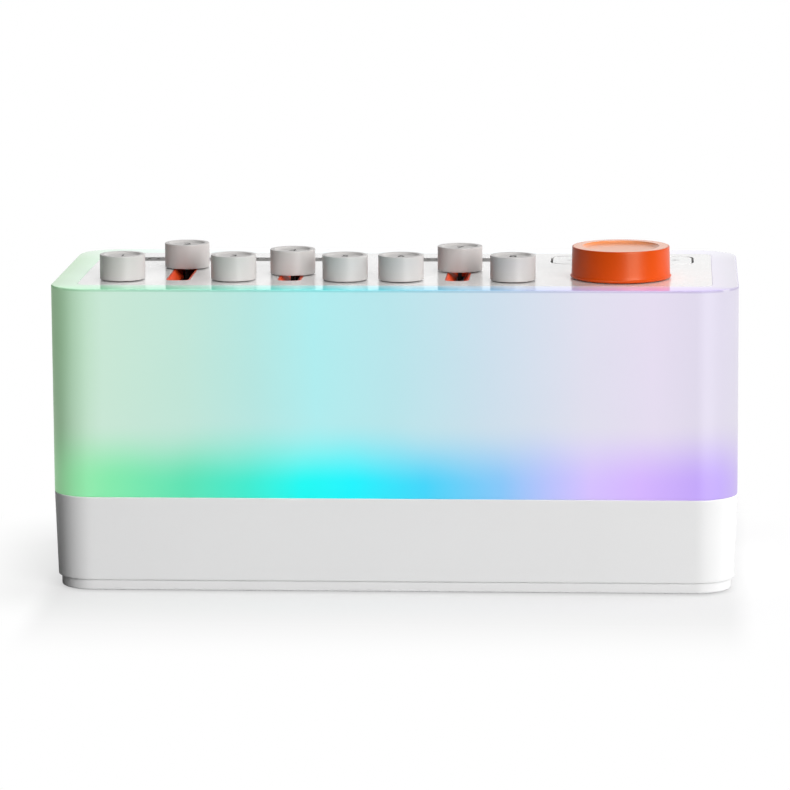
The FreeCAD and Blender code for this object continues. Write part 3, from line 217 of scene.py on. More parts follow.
class Tree:
    """Short ways to add and join nodes."""

    def __init__(self, tree):
        self.tree = tree

    def add(self, kind, inputs=None, **settings):
        """A new node with its settings, then its inputs."""
        node = self.tree.nodes.new(kind)
        for key, value in settings.items():
            setattr(node, key, value)
        for key, value in (inputs or {}).items():
            self.put(value, node.inputs[key])
        return node

    def put(self, value, socket):
        """Links a socket's value, or sets a plain one."""
        if isinstance(value, bpy.types.NodeSocket):
            self.tree.links.new(value, socket)
        else:
            socket.default_value = value

    def maths(self, operation, first, second=0.0, third=0.0):
        """One sum on plain numbers or sockets."""
        inputs = {0: first, 1: second, 2: third}
        return self.add("ShaderNodeMath", inputs, operation=operation).outputs[0]

    def span(self, value, low, high, to_low=0.0, to_high=1.0, kind="SMOOTHSTEP"):
        """Maps low..high to to_low..to_high, held at both ends."""
        inputs = {"Value": value, "From Min": low, "From Max": high, "To Min": to_low, "To Max": to_high}
        return self.add("ShaderNodeMapRange", inputs, interpolation_type=kind).outputs["Result"]

    def mix(self, factor, first, second, blend="MIX"):
        """From one colour to another."""
        node = self.add("ShaderNodeMix", data_type="RGBA", blend_type=blend)
        self.put(factor, node.inputs[0])
        self.put(first, node.inputs[6])
        self.put(second, node.inputs[7])
        return node.outputs[2]

    def mix_value(self, factor, first, second):
        """From one number to another."""
        node = self.add("ShaderNodeMix", data_type="FLOAT")
        for value, index in ((factor, 0), (first, 2), (second, 3)):
            self.put(value, node.inputs[index])
        return node.outputs[0]

    def scaled(self, color, by):
        """A colour made darker or lighter by a number."""
        grey = self.add("ShaderNodeCombineColor", {0: by, 1: by, 2: by}).outputs[0]
        return self.mix(1.0, color, grey, "MULTIPLY")

    def ramp(self, value, stops):
        """A colour for each place between 0 and 1."""
        node = self.add("ShaderNodeValToRGB", {"Fac": value})
        ramp = node.color_ramp
        ramp.elements[0].position, ramp.elements[0].color = stops[0]
        ramp.elements[1].position, ramp.elements[1].color = stops[-1]
        for place, color in stops[1:-1]:
            ramp.elements.new(place).color = color
        return node.outputs["Color"]

    def noise(self, place, scale, detail=2.0, roughness=0.5):
        """Cloudy values about 0.5."""
        inputs = {"Vector": place, "Scale": scale, "Detail": detail, "Roughness": roughness}
        return self.add("ShaderNodeTexNoise", inputs).outputs[0]

    def place(self):
        """Where a point is on its own object."""
        return self.add("ShaderNodeTexCoord").outputs["Object"]


def new_group(name, inputs, outputs):
    """An empty node group with named sockets, as a Tree with its input and output nodes."""
    group = bpy.data.node_groups.new(name, "ShaderNodeTree")
    for label, kind, value in inputs:
        group.interface.new_socket(name=label, in_out="INPUT", socket_type=kind).default_value = value
    for label, kind in outputs:
        group.interface.new_socket(name=label, in_out="OUTPUT", socket_type=kind)
    tree = Tree(group)
    tree.start = tree.add("NodeGroupInput")
    tree.end = tree.add("NodeGroupOutput")
    return tree


def moulded_surface():
    """Moulded plastic: a fine spark-eroded grain, and slow faint changes of tone and gloss."""
    tree = new_group(
        "moulded_surface",
        [
            ("Colour", "NodeSocketColor", (0.8, 0.8, 0.8, 1)),
            ("Tone", "NodeSocketFloat", 0.03),
            ("Grain Scale", "NodeSocketFloat", 2500.0),
            ("Roughness", "NodeSocketFloat", 0.45),
            ("Gloss Change", "NodeSocketFloat", 0.06),
        ],
        [("Colour", "NodeSocketColor"), ("Roughness", "NodeSocketFloat"), ("Height", "NodeSocketFloat")],
    )
    start, end = tree.start.outputs, tree.end.inputs
    place = tree.place()
    slow = tree.noise(place, 38.0, 3.0)
    grain = tree.noise(place, start["Grain Scale"], 2.0, 0.6)
    swing = tree.maths("SUBTRACT", slow, 0.5)
    tone = tree.maths("MULTIPLY_ADD", swing, start["Tone"], 1.0)
    speckle = tree.maths("MULTIPLY_ADD", tree.maths("SUBTRACT", grain, 0.5), 0.03, tone)
    tree.put(tree.scaled(start["Colour"], speckle), end["Colour"])
    rough = tree.maths("MULTIPLY_ADD", swing, start["Gloss Change"], start["Roughness"])
    tree.put(tree.maths("MULTIPLY_ADD", grain, 0.04, rough), end["Roughness"])
    tree.put(grain, end["Height"])
    return tree.tree


BAND_FULL = 0.0355
BAND_END = 0.0565
TOP_MILK = 0.78
TOP_LIGHT = 0.7
PAINTED_REAR_REFLECTION = (0.9, 0.94, 0.95, 1.0)


def lit_colours():
    """Colour of the lit diffuser: it turns from green through cyan and blue to lilac from left to
    right, strong in a low band near the light strip and milky above it. Its ends are darker,
    painted shade on the rounded corners, and the outer rounding of its top edge is darkened, a
    painted shade line. The polished border on top is vivid at its front edge and pale at the
    rear, where the paleness is a painted reflection. Heights and widths are in metres."""
    half_wide, half_deep, top_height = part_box("diffuser_shell")[1]
    tree = new_group(
        "lit_colours",
        [("Milk", "NodeSocketFloat", 0.71)],
        [("Surface", "NodeSocketColor"), ("Light", "NodeSocketColor"), ("Top", "NodeSocketFloat")],
    )
    place = tree.place()
    parts = tree.add("ShaderNodeSeparateXYZ", {0: place}).outputs
    drift = tree.maths("SUBTRACT", tree.noise(place, 22.0, 2.0), 0.5)
    along = tree.maths("MULTIPLY_ADD", drift, 0.004, parts["X"])
    across = tree.span(along, -half_wide, half_wide, kind="LINEAR")
    # Both ends of the milky ramp and the right end of the vivid ramp are darker and greyer: painted shade on
    # the rounded corners.
    milky = tree.ramp(
        across,
        [
            (0.0, shade(150, 196, 146)),
            (0.035, shade(186, 223, 192)),
            (0.08, shade(203, 234, 216)),
            (0.2, shade(194, 231, 218)),
            (0.3, shade(182, 231, 226)),
            (0.39, shade(175, 237, 239)),
            (0.5, shade(184, 229, 235)),
            (0.64, shade(203, 222, 235)),
            (0.78, shade(222, 221, 236)),
            (0.88, shade(226, 218, 237)),
            (0.95, shade(218, 212, 230)),
            (1.0, shade(196, 192, 205)),
        ],
    )
    vivid = tree.ramp(
        across,
        [
            (0.0, shade(176, 240, 178)),
            (0.035, shade(156, 240, 178)),
            (0.09, shade(132, 238, 176)),
            (0.2, shade(92, 229, 182)),
            (0.29, shade(60, 237, 208)),
            (0.37, shade(8, 250, 244)),
            (0.44, shade(8, 245, 255)),
            (0.55, shade(60, 213, 250)),
            (0.66, shade(132, 198, 248)),
            (0.73, shade(184, 193, 252)),
            (0.79, shade(212, 191, 254)),
            (0.86, shade(210, 178, 253)),
            (0.94, shade(192, 163, 246)),
            (0.965, shade(188, 164, 240)),
            (1.0, shade(180, 165, 214)),
        ],
    )
    height = tree.maths("MULTIPLY_ADD", drift, 0.006, parts["Z"])
    band = tree.span(height, BAND_FULL, BAND_END, 1.0, 0.0)
    top = tree.span(parts["Z"], top_height - 0.00015, top_height)
    sideways = tree.maths("ABSOLUTE", parts["X"])
    beside = tree.maths("SUBTRACT", sideways, half_wide - half_deep)
    outwards = tree.maths("MAXIMUM", beside, tree.maths("ABSOLUTE", parts["Y"]))
    # The outer rounding of the top edge is darkened to 0.78 and gets a little vivid colour: a painted shade
    # line along the edge.
    outer = tree.span(outwards, half_deep - 0.0035, half_deep - 0.0025)
    rim = tree.maths("MULTIPLY", tree.span(parts["Z"], top_height - 0.0009, top_height - 0.0004), outer)
    edge = tree.span(rim, 0.0, 1.0, 1.0, 0.78, kind="LINEAR")
    # The rear of the top border turns pale, less so towards the sides: a painted reflection of the white
    # surroundings.
    inwards = tree.span(sideways, 0.05, half_wide - 0.01, 1.0, 0.3)
    rear = tree.maths("MULTIPLY", tree.span(parts["Y"], 0.02, half_deep - 0.003), inwards)
    front = tree.span(parts["Y"], 0.002 - half_deep, 0.012 - half_deep, 0.7, 0.04)
    strength = tree.maths("MAXIMUM", band, tree.mix_value(top, tree.maths("MULTIPLY", rim, 0.3), front))
    glow = tree.mix(strength, milky, vivid)
    seen = tree.mix(tree.maths("MULTIPLY", top, rear), glow, PAINTED_REAR_REFLECTION)
    body = tree.mix_value(top, tree.maths("MULTIPLY", edge, tree.start.outputs["Milk"]), TOP_MILK)
    light = tree.mix_value(top, edge, TOP_LIGHT)
    tree.put(tree.scaled(seen, body), tree.end.inputs["Surface"])
    tree.put(tree.scaled(seen, light), tree.end.inputs["Light"])
    tree.put(top, tree.end.inputs["Top"])
    return tree.tree


MOULDED = moulded_surface()
LIT = lit_colours()


def new_material(name, **sockets):
    """A material with plain values on its shader's sockets. Returns it, its Tree and the shader."""
    material = bpy.data.materials.new(name)
    material.use_nodes = True
    shader = material.node_tree.nodes["Principled BSDF"]
    for label, value in sockets.items():
        shader.inputs[label.replace("_", " ")].default_value = value
    return material, Tree(material.node_tree), shader


def add_bump(tree, shader, height, strength, distance):
    """Joins a height to the shader's normal."""
    bump = tree.add("ShaderNodeBump", {"Strength": strength, "Distance": distance, "Height": height})
    tree.put(bump.outputs[0], shader.inputs["Normal"])


def plastic(name, color, roughness=0.45, tone=0.03, grain=2500.0, depth=0.00002, gloss=0.06, **sockets):
    """A moulded plastic with its own colour, grain and gloss."""
    material, tree, shader = new_material(name, **sockets)
    inputs = {
        "Colour": color,
        "Tone": tone,
        "Grain Scale": grain,
        "Roughness": roughness,
        "Gloss Change": gloss,
    }
    skin = tree.add("ShaderNodeGroup", inputs, node_tree=MOULDED)
    tree.put(skin.outputs["Colour"], shader.inputs["Base Color"])
    tree.put(skin.outputs["Roughness"], shader.inputs["Roughness"])
    add_bump(tree, shader, skin.outputs["Height"], 0.35, depth)
    return material


DIAL_TOP_RADIUS = 0.015


def dial_plastic(name, side, top, middle):
    """The dial's satin plastic: its top, all that lies near the axis, is glossier than its side and
    painted paler, a painted reflection. Distance from the axis is the root of across squared plus
    along squared, in metres."""
    material, tree, shader = new_material(name, Coat_Roughness=0.2, Specular_Tint=(1.0, 0.72, 0.5, 1.0))
    inputs = {"Tone": 0.02, "Grain Scale": 3000.0, "Roughness": 0.34, "Gloss Change": 0.02}
    skin = tree.add("ShaderNodeGroup", {"Colour": side, **inputs}, node_tree=MOULDED)
    place = tree.add("ShaderNodeSeparateXYZ", {"Vector": tree.place()}).outputs
    across = tree.maths("SUBTRACT", place["X"], middle.x)
    along = tree.maths("SUBTRACT", place["Y"], middle.y)
    squares = [tree.maths("MULTIPLY", length, length) for length in (across, along)]
    outwards = tree.maths("SQRT", tree.maths("ADD", *squares))
    glossy_and_painted_pale_top = tree.span(outwards, DIAL_TOP_RADIUS, DIAL_TOP_RADIUS + 0.0005, 1.0, 0.0)
    tree.put(tree.mix(glossy_and_painted_pale_top, skin.outputs["Colour"], top), shader.inputs["Base Color"])
    tree.put(tree.mix_value(glossy_and_painted_pale_top, 0.02, 0.8), shader.inputs["Coat Weight"])
    tree.put(skin.outputs["Roughness"], shader.inputs["Roughness"])
    add_bump(tree, shader, skin.outputs["Height"], 0.2, 0.00001)
    return material


def metal(name, color, roughness, stretch=(1.0, 1.0, 30.0), scale=160.0):
    """Bare metal with fine lines along one direction."""
    material, tree, shader = new_material(name, Metallic=1.0)
    mapping = tree.add("ShaderNodeMapping", {"Vector": tree.place(), "Scale": stretch})
    lines = tree.noise(mapping.outputs[0], scale, 4.0, 0.7)
    darker = tuple(value * 0.72 for value in color[:3]) + (1.0,)
    tree.put(tree.mix(lines, darker, color), shader.inputs["Base Color"])
    tree.put(tree.span(lines, 0.2, 0.8, roughness - 0.08, roughness + 0.12), shader.inputs["Roughness"])
    add_bump(tree, shader, lines, 0.2, 0.00002)
    return material


def board(name, color, trace):
    """Circuit board: solder mask with fine squared traces under it."""
    material, tree, shader = new_material(name, Coat_Weight=0.3)
    inputs = {
        "Vector": tree.place(),
        "Scale": 260.0,
        "Color1": color,
        "Color2": trace,
        "Mortar": trace,
        "Mortar Size": 0.025,
        "Brick Width": 0.9,
        "Row Height": 0.35,
        "Bias": -0.6,
    }
    tracks = tree.add("ShaderNodeTexBrick", inputs)
    tree.put(tracks.outputs["Color"], shader.inputs["Base Color"])
    tree.put(tree.span(tracks.outputs["Fac"], 0.0, 1.0, 0.35, 0.25), shader.inputs["Roughness"])
    add_bump(tree, shader, tracks.outputs["Fac"], 0.3, 0.00003)
    return material


def lit_plastic(name):
    """The milky diffuser: plastic lit from inside, polished on its top border."""
    material, tree, shader = new_material(name, Emission_Strength=0.4)
    colours = tree.add("ShaderNodeGroup", {"Milk": 0.71}, node_tree=LIT)
    place = tree.place()
    haze = tree.noise(place, 60.0, 3.0)
    tree.put(colours.outputs["Surface"], shader.inputs["Base Color"])
    tree.put(colours.outputs["Light"], shader.inputs["Emission Color"])
    top = colours.outputs["Top"]
    matt = tree.span(haze, 0.3, 0.7, 0.42, 0.5)
    polished = tree.span(haze, 0.3, 0.7, 0.06, 0.1)
    tree.put(tree.mix_value(top, matt, polished), shader.inputs["Roughness"])
    grain = tree.noise(place, 1800.0, 2.0)
    add_bump(tree, shader, grain, 0.12, 0.00002)
    return material


base_white = plastic("base_white", shade(243, 243, 243), 0.42, tone=0.015)
SATIN = {"Coat_Weight": 0.75, "Coat_Roughness": 0.15}
plate_white = plastic("plate_white", shade(244, 243, 242), 0.25, 0.012, 3200.0, gloss=0.015, **SATIN)
key_white = plastic("key_white", shade(240, 240, 239), 0.25, tone=0.012, gloss=0.015, **SATIN)
cap_grey = plastic("cap_grey", shade(193, 190, 188), 0.36, tone=0.02, grain=3200.0, gloss=0.03)
dial_middle = sum(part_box("dial"), Vector()) / 2
# The second colour is the dial top's painted paler tone, a painted reflection of the light on the top.
orange = dial_plastic("dial_orange", shade(206, 71, 3), shade(232, 130, 52), dial_middle)
slot_orange = plastic("slot_orange", shade(224, 72, 18), 0.45, tone=0.04)
black_plastic = plastic("black_plastic", shade(30, 30, 31), 0.5, tone=0.1)
rubber = plastic("foot_rubber", shade(38, 38, 39), 0.75, tone=0.12, grain=1500.0, depth=0.00004)
core_white = plastic("core_white", shade(238, 238, 238), 0.6, tone=0.02)
packages = plastic("package_black", shade(36, 36, 38), 0.55, tone=0.12)
phosphor = plastic("led_yellow", shade(236, 214, 120), 0.35, tone=0.1, grain=900.0)
paper = plastic("cone_paper", shade(52, 52, 54), 0.8, tone=0.2, grain=900.0, depth=0.0001)
grille_grey = plastic("grille_grey", shade(112, 110, 108), 0.5, tone=0.06, grain=3500.0)
ribbon = plastic("ribbon_grey", shade(176, 176, 180), 0.45, tone=0.05)
ferrite = metal("ferrite", shade(92, 92, 96), 0.5, (1.0, 1.0, 1.0), 400.0)
steel = metal("bright_steel", shade(206, 206, 208), 0.3)
dark_steel = plastic("dark_steel", shade(30, 29, 29), 0.5, tone=0.15, grain=1200.0, Metallic=0.4)
cloth = plastic("grille_cloth", shade(150, 148, 146), 0.9, tone=0.1, grain=1500.0, depth=0.0001)
green_board = board("board_green", shade(22, 92, 58), shade(38, 120, 74))
diffuser_milky = lit_plastic("diffuser_milky")
ink = plastic("mark_ink", shade(40, 39, 40), 0.6, tone=0.1)
pale_ink = plastic("mark_pale", shade(150, 150, 151), 0.6, tone=0.1)

FINISH = {
    "base_white": base_white,
    "diffuser_milky": diffuser_milky,
    "plate_white": plate_white,
    "cap_grey": cap_grey,
    "dial_orange": orange,
    "slot_orange": slot_orange,
    "key_white": key_white,
    "grille_grey": grille_grey,
    "foot_rubber": rubber,
    "black_plastic": black_plastic,
    "core_white": core_white,
    "bright_steel": steel,
    "dark_steel": dark_steel,
    "board_green": green_board,
    "package_black": packages,
    "led_yellow": phosphor,
    "cone_paper": paper,
    "ferrite": ferrite,
    "ribbon_grey": ribbon,
}
for part in frame["record"]["subparts"]:
    mesh = nodes[part["node"]].data
    mesh.materials.clear()
    mesh.materials.append(FINISH[part["material_slot"]])


# Diffuser shell

DIFFUSER_CORNER = 13.5
PLATE_CORNER = 3.4
WALL = 2.5
RECESS_DEPTH = 2.0
LEDGE_WIDTH = 2.99
LEDGE_FOOT = 4.0
diffuser_low, diffuser_high = (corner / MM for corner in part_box("diffuser_shell"))
diffuser_plan = plan_of("diffuser_shell", DIFFUSER_CORNER)
recess_plan = plan_of("top_plate", PLATE_CORNER).inset(-0.1)


def make_diffuser():
    """Section, from the foot of the outer wall: up the wall, round the top edge, level over the
    border, down into the plate's recess, in along its ledge, and back down the inner wall."""
    foot, top = diffuser_low.z, diffuser_high.z
    outer = [*bend(0.25, foot + 0.25, 0.25, -90, -180), (0, foot + 0.6), (0, top - 0.9)]
    edge = bend(0.5, top - 0.5, 0.5, 180, 90, 6)
    rings = [diffuser_plan.inset(inset).ring(height) for inset, height in outer]
    rings += [diffuser_plan.inset(inset).ring(height) for inset, height in edge]
    rings.append(diffuser_plan.inset(0.9).ring(top))
    rings.append(recess_plan.inset(-0.5).ring(top))
    lip = bend(-0.06, top - 0.06, 0.06, 90, 0, 3)
    rings += [recess_plan.inset(inset).ring(height) for inset, height in lip]
    rings += [recess_plan.inset(inset).ring(top - RECESS_DEPTH) for inset in (0, LEDGE_WIDTH)]
    rings.append(recess_plan.inset(LEDGE_WIDTH).ring(top - LEDGE_FOOT))
    rings += [diffuser_plan.inset(WALL).ring(height) for height in (top - LEDGE_FOOT, foot)]
    return show("lit_diffuser", one_mesh("lit_diffuser", [closed_skin(rings, joined=True)]))


fit(make_diffuser(), "housing", diffuser_milky, "diffuser_milky", "diffuser_shell")


# Base shell, plinth and feet

BASE_DRAFT = 0.8
DECK = 3.0
LIP_FIT = 0.15
LIP_WIDTH = 1.5
SOCKET_ROOM = 0.35
base_low, base_high = (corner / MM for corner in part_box("base_shell"))
plinth_low, plinth_high = (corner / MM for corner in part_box("bottom_cover"))
SEAM = diffuser_low.z


def make_base():
    """Section from the middle of the ceiling: down the cavity, round the foot, up the wall, which
    leans out by the draft, round the seam, in to the deck, over the lip and back to its middle."""
    foot = base_low.z
    inner = BASE_DRAFT + WALL
    rings = [diffuser_plan.inset(inner).ring(height) for height in (SEAM - DECK, foot)]
    low_edge = bend(BASE_DRAFT + 0.12, foot + 0.12, 0.12, -90, -180, 3)
    rings += [diffuser_plan.inset(inset).ring(height) for inset, height in low_edge]
    lean = BASE_DRAFT / (SEAM - foot)
    for height in (foot + 0.8, foot + 9.0, foot + 18.0, SEAM - 0.6):
        rings.append(diffuser_plan.inset(lean * (SEAM - height)).ring(height))
    high_edge = bend(0.28, SEAM - 0.28, 0.28, 180, 90)
    rings += [diffuser_plan.inset(inset).ring(height) for inset, height in high_edge]
    lip_outside = diffuser_plan.inset(WALL + LIP_FIT)
    lip_inside = lip_outside.inset(LIP_WIDTH)
    rings += [lip_outside.ring(height) for height in (SEAM, base_high.z)]
    rings += [lip_inside.ring(height) for height in (base_high.z, SEAM)]
    base = show("white_base", one_mesh("white_base", [closed_skin(rings)]))
    socket_low, socket_high = (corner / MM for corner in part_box("power_socket"))
    middle = (socket_low.z + socket_high.z) / 2
    half_up = (socket_high.z - socket_low.z) / 2 + SOCKET_ROOM
    half_across = (socket_high.x - socket_low.x) / 2 + SOCKET_ROOM
    mouth = Plan(-half_across, half_across, middle - half_up, middle + half_up, half_up - 0.01)
    across, up, _ = mouth.ring(0.0, 10, 2).T
    behind_wall, inside_wall = 60.0, 40.0
    tunnel = [np.column_stack([across, np.full_like(up, y), up]) for y in (behind_wall, inside_wall)]
    return without(base, [closed_skin(tunnel)])


fit(make_base(), "housing", base_white, "base_white", "base_shell")


PLINTH_CORNER = 11.65
FOOT_RADIUS = 7.0
foot_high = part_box("foot_pads")[1] / MM
foot_x, foot_y = foot_high.x - FOOT_RADIUS, foot_high.y - FOOT_RADIUS
SCREW_X, SCREW_Y = 76.0, 34.0
SCREW_HEAD_RADIUS = 3.0
CORNERS = [(sx, sy) for sx in (-1, 1) for sy in (-1, 1)]


def make_plinth():
    """Flat tray: a rounded lower edge and an upright side. Round seats take the feet and screws."""
    plinth_plan = plan_of("bottom_cover", PLINTH_CORNER)
    low = plinth_low.z
    side_top = base_low.z - 0.05
    low_edge = bend(0.5, low + 0.5, 0.5, -90, -180)
    rings = [plinth_plan.inset(inset).ring(height) for inset, height in [(4.0, low), (0.8, low), *low_edge]]
    rings += [plinth_plan.ring(height) for height in (low + 0.8, side_top)]
    rings += [plinth_plan.inset(1.7).ring(height) for height in (side_top, plinth_high.z - 2.4)]
    plinth = show("plinth", one_mesh("plinth", [closed_skin(rings)]))
    foot_seat = [(FOOT_RADIUS + 0.1, low - 1), (FOOT_RADIUS + 0.1, low + 1.4)]
    head_seat = [(SCREW_HEAD_RADIUS, low - 1), (SCREW_HEAD_RADIUS, low + 1.85)]
    seats = []
    for sx, sy in CORNERS:
        seats.append(closed_skin(turned(foot_seat, foot_x * sx, foot_y * sy, 48)))
        seats.append(closed_skin(turned(head_seat, SCREW_X * sx, SCREW_Y * sy, 32)))
    return without(plinth, seats)


fit(make_plinth(), "housing", base_white, "base_white", "bottom_cover")


def make_feet():
    """Four rubber discs with a rounded lower rim and a shallow hollow."""
    section = [
        (0.5, 0.25),
        (5.0, 0.25),
        *bend(5.5, 0.25, 0.25, 180, 270)[1:],
        *bend(FOOT_RADIUS - 0.4, 0.4, 0.4, -90, 0),
        (FOOT_RADIUS, 0.8),
        (FOOT_RADIUS, 1.99),
    ]
    feet = [closed_skin(turned(section, foot_x * sx, foot_y * sy, 64)) for sx, sy in CORNERS]
    return show("rubber_feet", one_mesh("rubber_feet", feet))


fit(make_feet(), "housing", rubber, "foot_rubber", "foot_pads")


# Cloth behind the sound grilles


def make_cloth(node):
    """A thin sheet of grey cloth close under the openings of a grille."""
    sheet = plan_of(node, 1.0).inset(0.4)
    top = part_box(node)[1].z / MM - 0.15
    return closed_skin([sheet.ring(height, 4, 2) for height in (top - 0.1, top)])


sheets = [make_cloth(f"sound_grille_{side}") for side in ("left", "right")]
grille_cloth = show("grille_cloth", one_mesh("grille_cloth", sheets))
fit(grille_cloth, "housing", cloth, "black_plastic")


# Black sheets under the fader slots: dark sheets put in for the shade there, so the glow below stays out of
# the slots


CURTAIN_DROP = 4.0
CURTAIN_REACH = 18.0


def make_curtains():
    """A long black frame on edge round each lever's path closes the slot to light from below."""
    strips = []
    for number in range(1, FADER_COUNT + 1):
        low, high = (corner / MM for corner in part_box(f"fader_pot_{number}"))
        x, y = (low.x + high.x) / 2, (low.y + high.y) / 2
        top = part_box("slot_tray")[0].z / MM - 0.02
        for side in (-1, 1):
            beside, beyond = x + 1.9 * side, y + 17.6 * side
            long_strip = Plan(beside - 1.2, beside + 1.2, y - CURTAIN_REACH, y + CURTAIN_REACH, 0.3)
            short_strip = Plan(x - 0.9, x + 0.9, beyond - 0.4, beyond + 0.4, 0.2)
            for strip in (long_strip, short_strip):
                strips.append(closed_skin([strip.ring(height, 2, 1) for height in (top - CURTAIN_DROP, top)]))
    return show("slot_shade_sheets", one_mesh("slot_shade_sheets", strips))


fit(make_curtains(), "housing", black_plastic, "black_plastic")


# Fader caps with their numbers


CAP_HEIGHT = 7.9
CAP_RADIUS = 7.3
CAP_BORE = 6.0
CAP_BOSS = 2.8
CAP_HOLLOW = 5.8
DISH_DEPTH = 0.65


def cap_section(low):
    """Half section of a cap, from its hollow underside round the outside to the dished top. The
    dish falls from its rim by depth * (1 - (1 - run)^2), where run goes from 0 to 1 inwards."""
    top = low + CAP_HEIGHT
    floor = top - DISH_DEPTH
    rim = [(5.86, top - 0.01), (5.8, top - 0.04)]
    run = np.array([0.12, 0.35, 0.6, 0.85, 1.0])
    fall = (DISH_DEPTH - 0.06) * (1 - (1 - run) ** 2)
    dish = np.column_stack([5.76 - 1.1 * run, top - 0.06 - fall])
    return [
        (0.3, low + 0.2),
        (CAP_BOSS, low + 0.2),
        (CAP_BOSS, low + CAP_HOLLOW),
        (CAP_BORE, low + CAP_HOLLOW),
        (CAP_BORE, low + 0.1),
        (CAP_BORE + 0.1, low),
        *bend(CAP_RADIUS - 0.2, low + 0.2, 0.2, -90, 0),
        (CAP_RADIUS, low + 0.7),
        (CAP_RADIUS, top - 0.5),
        *bend(CAP_RADIUS - 0.16, top - 0.16, 0.16, 0, 90),
        (6.9, top),
        (6.2, top),
        *rim,
        *dish,
        (2.5, floor),
        (0.3, floor),
    ]


NUMBER_SIZE = 5.4
KEY_MARK_SIZE = 5.0
MARK_LIFT = 0.02


def written(name, words, height, place):
    """Flat words, made a mesh before they are put in their place."""
    curve = bpy.data.curves.new(name, "FONT")
    curve.body = words
    curve.size = height * MM
    curve.align_x = "CENTER"
    curve.align_y = "CENTER"
    curve.extrude = 0.015 * MM
    drawn = show(name, curve)
    bpy.context.view_layer.update()
    mesh = bpy.data.meshes.new_from_object(drawn.evaluated_get(bpy.context.evaluated_depsgraph_get()))
    bpy.data.objects.remove(drawn)
    mesh.transform(Matrix.Translation(Vector(place) * MM))
    mesh.name = name
    return show(name, mesh)


for number in range(1, FADER_COUNT + 1):
    node = f"fader_cap_{number}"
    x, y, low = centre_of(node)
    cap = show(f"cap_{number}", one_mesh(f"cap_{number}", [closed_skin(turned(cap_section(low), x, y))]))
    fit(cap, f"fader_{number}", cap_grey, "cap_grey", node)
    dish_floor = low + CAP_HEIGHT - DISH_DEPTH
    mark = written(f"cap_number_{number}", str(number), NUMBER_SIZE, (x, y + 1.0, dish_floor + MARK_LIFT))
    fit(mark, f"fader_{number}", ink, "black_plastic")


# Dial


DIAL_HEIGHT = 10.0
DIAL_CORE = 5.0
DIAL_BORE = 13.4
DIAL_HOLLOW = 7.4
DIAL_DISH = 11.2


def make_dial():
    """Half section from the hollow underside: flared foot, tapered side, rounded rim, steep dish
    wall and a slightly bowled dish. The foot's flare narrows by 0.4 * (1 - rise)^2, and the bowl's
    depth is 0.8 + 0.25 * (1 - (radius / dish radius)^2)."""
    x, y, low = centre_of("dial")
    top = low + DIAL_HEIGHT
    rise = np.linspace(0, 1, 5)
    flare = np.column_stack([15.88 + 0.4 * (1 - rise) ** 2, low + 0.55 + 0.55 * rise])
    rim = bend(15.42, top - 0.22, 0.22, 3, 90, 5)
    radius = np.array([DIAL_DISH, 9.0, 6.5, 4.0, 1.5, 0.3])
    bowl = np.column_stack([radius, top - 0.8 - 0.25 * (1 - (radius / DIAL_DISH) ** 2)])
    section = [
        (0.3, low + 0.4),
        (DIAL_CORE, low + 0.4),
        (DIAL_CORE, low + DIAL_HOLLOW),
        (DIAL_BORE, low + DIAL_HOLLOW),
        (DIAL_BORE, low + 0.1),
        (DIAL_BORE + 0.1, low),
        (15.9, low),
        (16.22, low + 0.3),
        *flare,
        (15.84, low + 2.0),
        (15.66, top - 0.8),
        *rim,
        (15.0, top),
        (12.6, top),
        *bend(12.4, top - 0.15, 0.15, 90, 190, 4),
        (11.5, top - 0.72),
        *bowl,
    ]
    return show("orange_dial", one_mesh("orange_dial", [closed_skin(turned(section, x, y, 160))]))


fit(make_dial(), "dial", orange, "dial_orange", "dial")


# Key marks

KEY_MARK_OFFSET = 17.5
key_x, key_y, key_low = centre_of("rocker_key")
key_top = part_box("rocker_key")[1].z / MM
for sign, words, side in (("minus", "-", -1), ("plus", "+", 1)):
    place = (key_x + KEY_MARK_OFFSET * side, key_y, key_top + MARK_LIFT)
    mark = written(f"key_{sign}", words, KEY_MARK_SIZE, place)
    fit(mark, "rocker_key", pale_ink, "black_plastic")


# Camera, at the photograph's place


CAMERA_PLACE = Vector((0.08848, -1.44368, 0.30151))
CAMERA_YAW, CAMERA_PITCH, CAMERA_ROLL = 3.582, 9.602, -0.345
FOCAL_LENGTH = 203.46


def add_camera():
    """Stands in front, a little to the right and above, and looks slightly down."""
    yaw, pitch, roll = (math.radians(angle) for angle in (CAMERA_YAW, CAMERA_PITCH, CAMERA_ROLL))
    back = Vector((math.sin(yaw) * math.cos(pitch), -math.cos(yaw) * math.cos(pitch), math.sin(pitch)))
    right = Vector((0, 0, 1)).cross(back).normalized()
    up = back.cross(right)
    turned_right = math.cos(roll) * right + math.sin(roll) * up
    turned_up = math.cos(roll) * up - math.sin(roll) * right
    lens = bpy.data.cameras.new("camera")
    lens.sensor_width = 36.0
    lens.lens = FOCAL_LENGTH
    camera = bpy.data.objects.new("camera", lens)
    bpy.context.scene.collection.objects.link(camera)
    facing = Matrix((turned_right, turned_up, back)).transposed().to_4x4()
    camera.matrix_world = Matrix.Translation(CAMERA_PLACE) @ facing
    bpy.context.scene.camera = camera


add_camera()


# Floor, lamps and surroundings


FLOOR_RADIUS = 3000.0


